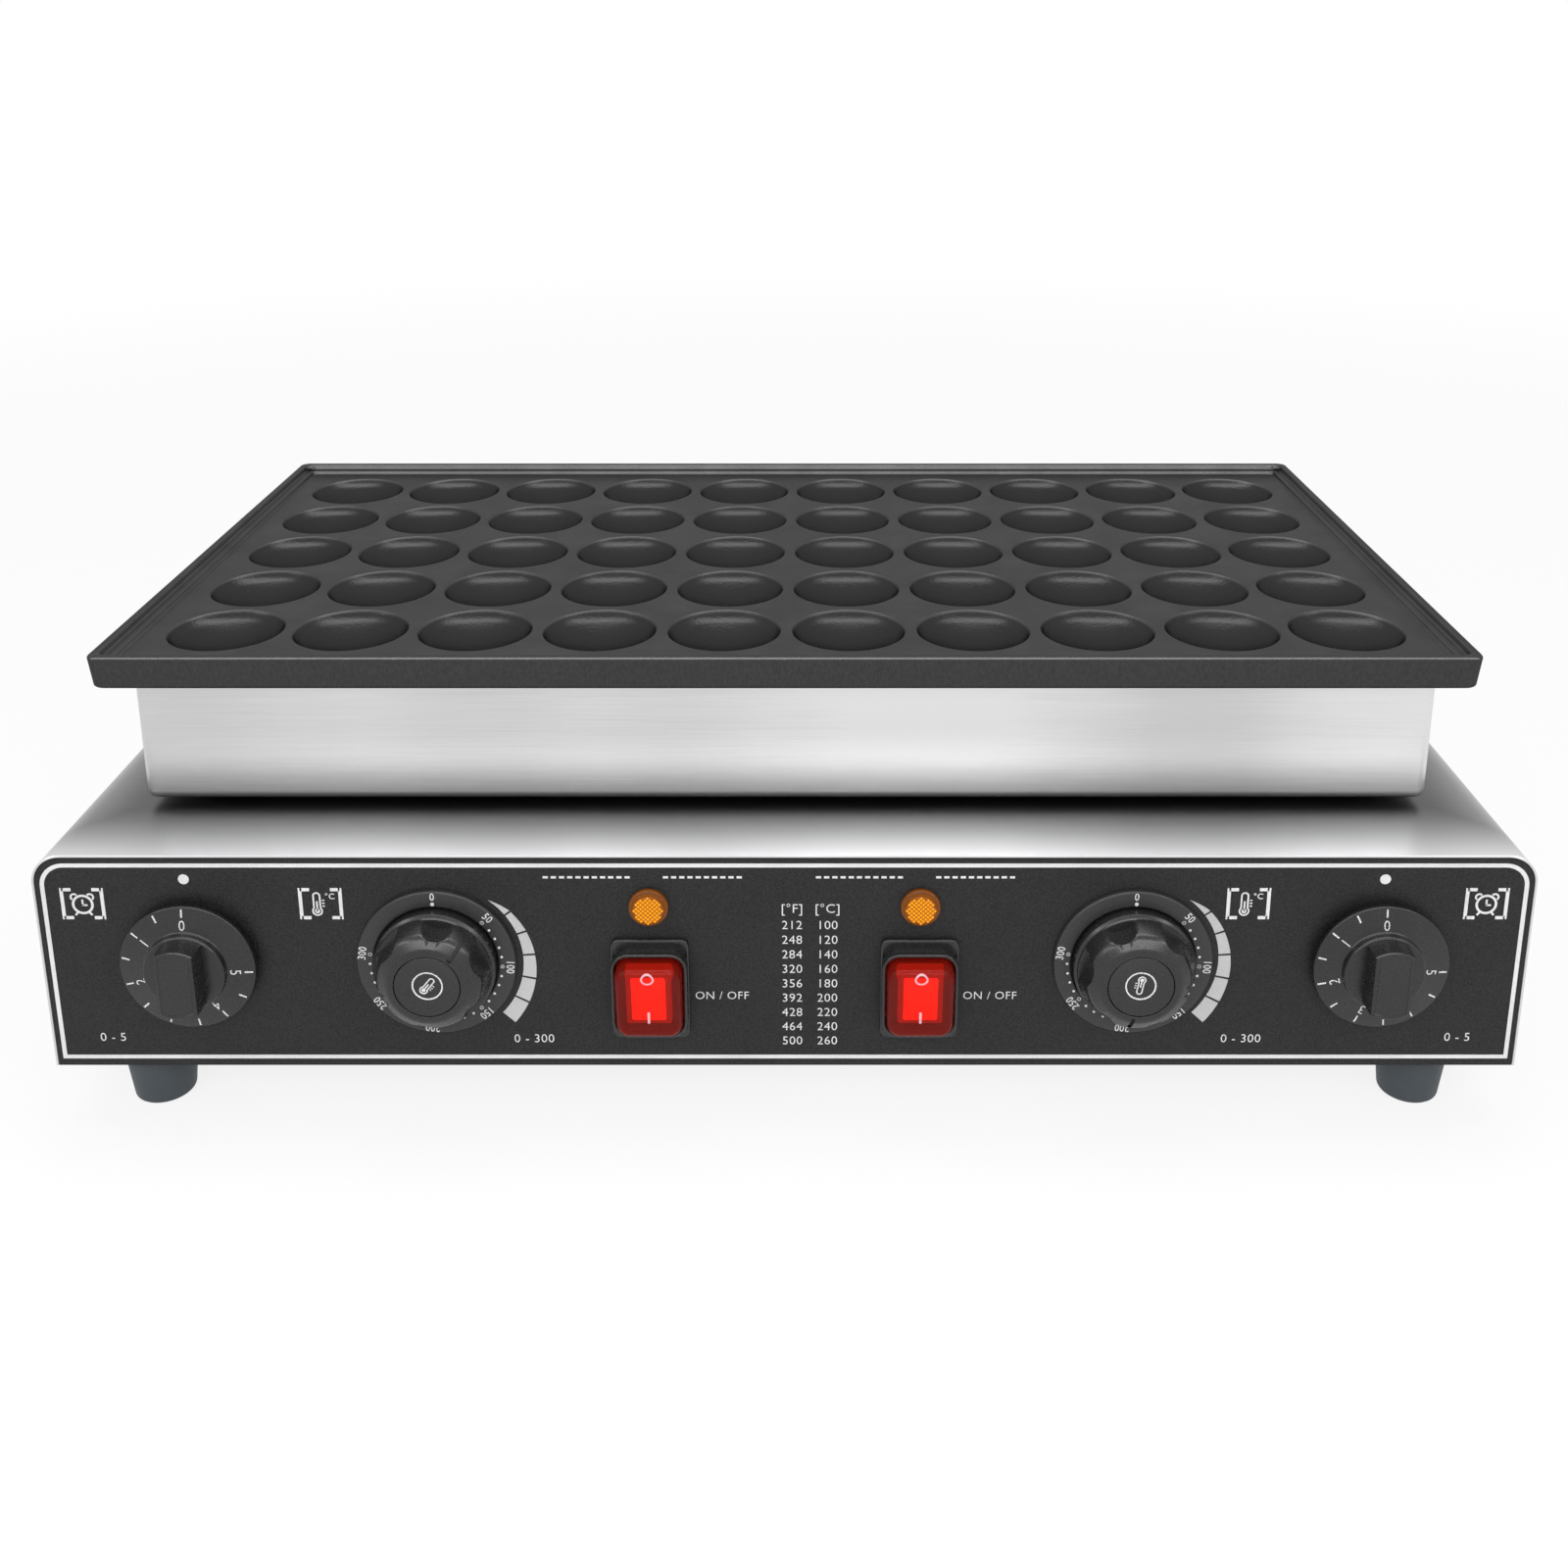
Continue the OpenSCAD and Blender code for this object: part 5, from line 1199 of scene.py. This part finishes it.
# %% Lamps
lamp_rim_r, lamp_lens_r, lamp_rim_h, lamp_top = 7.3, 5.8, 2.0, 4.0
facet_pitch, facet_h = 1.2, 0.5
for side in SIDES:
    place = on_panel(lamp_at[side])
    lamp = turning([(0, -1.0), (4.9, -1.0), (4.9, 0), (lamp_rim_r, 0), (lamp_rim_r, lamp_rim_h),
                    (lamp_lens_r + 0.1, lamp_rim_h), (lamp_lens_r - 0.2, lamp_top - facet_h),
                    (0, lamp_top - facet_h)], [0, 0, 0, 0.3, 0.7, 0.2, 0.4, 0], 64)
    facet = bmesh.new()
    half = facet_pitch / 2
    corners = [facet.verts.new((x * half, y * half, 0))
               for x, y in ((-1, -1), (1, -1), (1, 1), (-1, 1))]
    peak = facet.verts.new((0, 0, facet_h))
    for i in range(4):
        facet.faces.new((corners[i], corners[(i + 1) % 4], peak))
    facet.faces.new(corners[::-1])
    facets = grow(grid_tree, facet, clear_amber, Columns=11, Rows=11, Pitch=facet_pitch,
                  Reach=lamp_lens_r - 0.5)
    on_lens = Matrix.Translation((0, 0, lamp_top - facet_h - 0.02))
    add_mesh(lamp, facets, on_lens @ Matrix.Rotation(math.radians(45), 4, "Z"))
    # marks the diamond tips for the lens's painted glow; grooves and rim get painted shade
    painted_glint_layer = lamp.verts.layers.float.new("painted_glint")
    for vert in lamp.verts:
        inside = math.hypot(vert.co.x, vert.co.y) < lamp_lens_r - 0.3 and vert.co.z > lamp_rim_h
        vert[painted_glint_layer] = (0.05 + 0.95 * (vert.co.z > lamp_top - 0.1)) if inside else 0.0
    make_piece(side + "_lamp_lens", lamp, clear_amber, place,
               [side + "_lamp"], sharp=20)
    bulb = turning([(0, -0.8), (4.4, -0.8), (4.4, 0.6), (0, 0.6)], [0, 0.2, 0.4, 0], 40)
    make_piece(side + "_lamp_light", bulb, amber_glow, place)

# %% [markdown]
# ## Feet and screws
# The feet are rubber cones that widen to the base, with a screw sunk in from below. The cover
# screws have domed heads with a cross recess: one screw is cut with two small blocks, and the
# point tree copies it to its places.

# %% Feet
foot_low_r, foot_top_r, foot_recess, recess_r = 11.3, 14.2, 8.0, 5.0
for node in ("front_left_foot", "front_right_foot", "rear_left_foot", "rear_right_foot"):
    low, high = box_mm(node)
    foot_h = high.z - low.z
    foot = turning(
        [(2.2, foot_h), (2.2, foot_recess), (recess_r, foot_recess), (recess_r, 0), (foot_low_r, 0),
         (foot_top_r, foot_h)], [0, 0, 0.3, 0.5, 1.6, 0.3], 72, closed=True)
    centre = middle(node)
    make_piece(node + "_rubber", foot, slate_rubber,
               Matrix.Translation((centre.x, centre.y, low.z)), [node])

# %% Cover screws
head_r, head_h, shank_r, shank_l = 4.2, 2.6, 2.0, 8.0
dome_r = (head_r ** 2 + head_h ** 2) / (2 * head_h)
dome_half = math.asin(head_r / dome_r)
dome = arc((0, dome_r - head_h), dome_r, 0, dome_half, 8)
screw = bmesh.new()
lathe(screw, dome + [(shank_r, 0), (shank_r, shank_l), (0, shank_l)], 32)
slot_w, slot_l, slot_depth = 0.9, 4.4, 1.3
for w, d in ((slot_w, slot_l), (slot_l, slot_w)):
    slot = bmesh.new()
    brick(slot, (-w / 2, -d / 2, -head_h - 1), (w / 2, d / 2, -head_h + slot_depth))
    screw = carve(screw, slot)
screw_x, screw_y, side_screw_x = base_w / 2 - 41.0, 6.0, base_w / 2 - 8.0
screws_at = [(s * screw_x, y) for s in (-1, 0, 1) for y in (panel_y + screw_y, rear_y - screw_y)]
screws_at += [(s * side_screw_x, (panel_y + rear_y) / 2) for s in (-1, 1)]
spots = bmesh.new()
for x, y in screws_at:
    spots.verts.new((x, y, base_low.z))
spot_holder = as_object("screw_spots", spots)
screws = grow(point_tree, screw, screw_steel, Places=spot_holder)
bpy.data.objects.remove(spot_holder)
make_piece("cover_screw_set", screws, screw_steel, None, ["cover_screws"])

# %% [markdown]
# ## The cord gland at the back
# The gland is a nylon fitting with a ribbed nut, through which a cord could enter. Its body comes
# off the lathe with its bore, and the ribs are copies round the axis.

# %% Gland
gland_low, gland_high = box_mm("cord_gland")
gland_at = middle("cord_gland")
bore_r, thread_r, collar_r = 5.2, 8.0, 11.0
behind, ahead = rear_y - gland_low.y, gland_high.y - rear_y
gland = turning(
    [(bore_r, -behind), (thread_r, -behind), (thread_r, 0), (collar_r, 0), (collar_r, 4.0),
     (thread_r + 1.2, 5.0), (thread_r - 0.3, ahead), (bore_r, ahead)],
    [0, 0, 0, 0.3, 0.6, 0.8, 1.2, 0.4], 64, closed=True)
rib = bmesh.new()
stack(rib, [(0, 0.2), (0, 3.6)], lambda inset: soft_rectangle(1.1, 1.0, 0.4, 3))
nut_ribs = 24
add_mesh(gland, grow(round_tree, rib, frame_black, Count=nut_ribs, Radius=collar_r - 0.1,
                     First=0.0, Step=360 / nut_ribs))
facing_back = Matrix(((1, 0, 0, 0), (0, 0, 1, rear_y), (0, -1, 0, gland_at.z), (0, 0, 0, 1)))
make_piece("cord_gland_nut", gland, frame_black, facing_back, ["cord_gland"])

# %% [markdown]
# ## Finishes for the other solids
# What is left are flat plates and pieces inside the machine. Their solids are right as they are, so
# each one only gets its finish: drawn sheet, plated screws, an oxidised heater sheath, fibre
# board, silicone and moulded bodies.

# %% Dress the remaining solids
single = (
    (film_black, "control_film"), (housing_steel, "rear_plate"), (grey_body, "housing_spacers"),
    (fibre_white, "insulation_board"), (frame_black, "gland_nut"), (ivory_body, "terminal_block"),
    (plate_steel, "front_plate bottom_cover heater_clamps heat_reflector bulb_saddles"),
    (screw_steel, "hold_down_bolts clamp_screws foot_screws foot_nuts dial_screws block_screws"))
paired = (
    (sheath_steel, "heater"), (brown_silicone, "bushing"), (copper, "bulb"), (red_silicone, "wires"),
    (grey_body, "switch_body"), (screw_steel, "timer_shaft heat_shaft"),
    (ivory_body, "timer thermostat lamp_holder"))
finish_of = {node: finish for finish, nodes in single for node in nodes.split()}
for side in SIDES:
    finish_of.update({side + "_" + node: finish for finish, nodes in paired for node in nodes.split()})
for node, finish in finish_of.items():
    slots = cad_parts[node].data.materials
    slots.clear()
    slots.append(finish)
print("dressed", len(finish_of), "solids")

# %% [markdown]
# ## Floor and light
# The machine stands on a white floor in an even studio. The floor, and the world behind it, show
# plain white to the camera and to mirrors. Near the machine a part of the floor still takes the real
# light, so it keeps the shadow, and that part fades out where the floor meets the horizon. One long
# lamp lights the panel, two fill in the sides, and a wide one overhead puts the highlights in the
# cups.


# %% Floor
def seen_directly(owner):
    """1 for what the camera, mirrors and clear pieces see, and 0 for what only lights the scene."""
    rays = add_node(owner, "ShaderNodeLightPath").outputs
    seen = rays["Is Camera Ray"]
    for label in ("Is Glossy Ray", "Is Transmission Ray"):
        seen = calculate("MAXIMUM", seen, rays[label])
    return seen


floor_half, floor_tone, fade_from, fade_to, near_white = 20.0, 0.9, 0.4, 2.0, 0.82
floor_paint = new_finish("studio_floor", {
    "Base Color": (floor_tone, floor_tone, floor_tone, 1), "Roughness": 0.9})
away = add_node(floor_paint, "ShaderNodeVectorMath", [(0, object_place(floor_paint))],
                operation="LENGTH").outputs["Value"]
fade = spread(away, near_white, 1.0, fade_from, fade_to)
white = add_node(floor_paint, "ShaderNodeEmission", [("Strength", 1.0)])
nodes = floor_paint.node_tree.nodes
mix = add_node(floor_paint, "ShaderNodeMixShader", [
    (0, calculate("MULTIPLY", seen_directly(floor_paint), fade)),
    (1, nodes["Principled BSDF"].outputs["BSDF"]), (2, white.outputs["Emission"])])
floor_paint.node_tree.links.new(mix.outputs["Shader"], nodes["Material Output"].inputs["Surface"])
ground = bmesh.new()
bmesh.ops.create_grid(ground, x_segments=1, y_segments=1, size=floor_half)
floor = as_object("studio_floor", ground)
floor.data.materials.append(floor_paint)

# %% World and lamps
world = bpy.data.worlds.new("studio")
scene.world = world
world.use_nodes = True
ambient = 0.4
background = world.node_tree.nodes["Background"]
background.inputs["Color"].default_value = (1, 1, 1, 1)
world.node_tree.links.new(
    spread(seen_directly(world), ambient, 1.0, 0.0, 1.0), background.inputs["Strength"])
lamp_aim = Vector((0, 0, 0.1))


def soft_lamp(name, place, size, power):
    data = bpy.data.lights.new(name, "AREA")
    data.shape, data.size, data.size_y, data.energy = "ELLIPSE", *size, power
    lamp = bpy.data.objects.new(name, data)
    lamp.location = place
    lamp.rotation_euler = (lamp_aim - Vector(place)).to_track_quat("-Z", "Y").to_euler()
    scene.collection.objects.link(lamp)


soft_lamp("front", (0.0, -1.25, 0.95), (2.8, 0.3), 12)
soft_lamp("left", (-1.25, -0.75, 0.95), (0.8, 0.3), 3)
soft_lamp("right", (1.25, -0.75, 0.95), (0.8, 0.3), 3)
soft_lamp("top", (0.0, 0.0, 1.5), (2.2, 0.6), 11)
scene.view_settings.view_transform = "Standard"
print("studio lit")
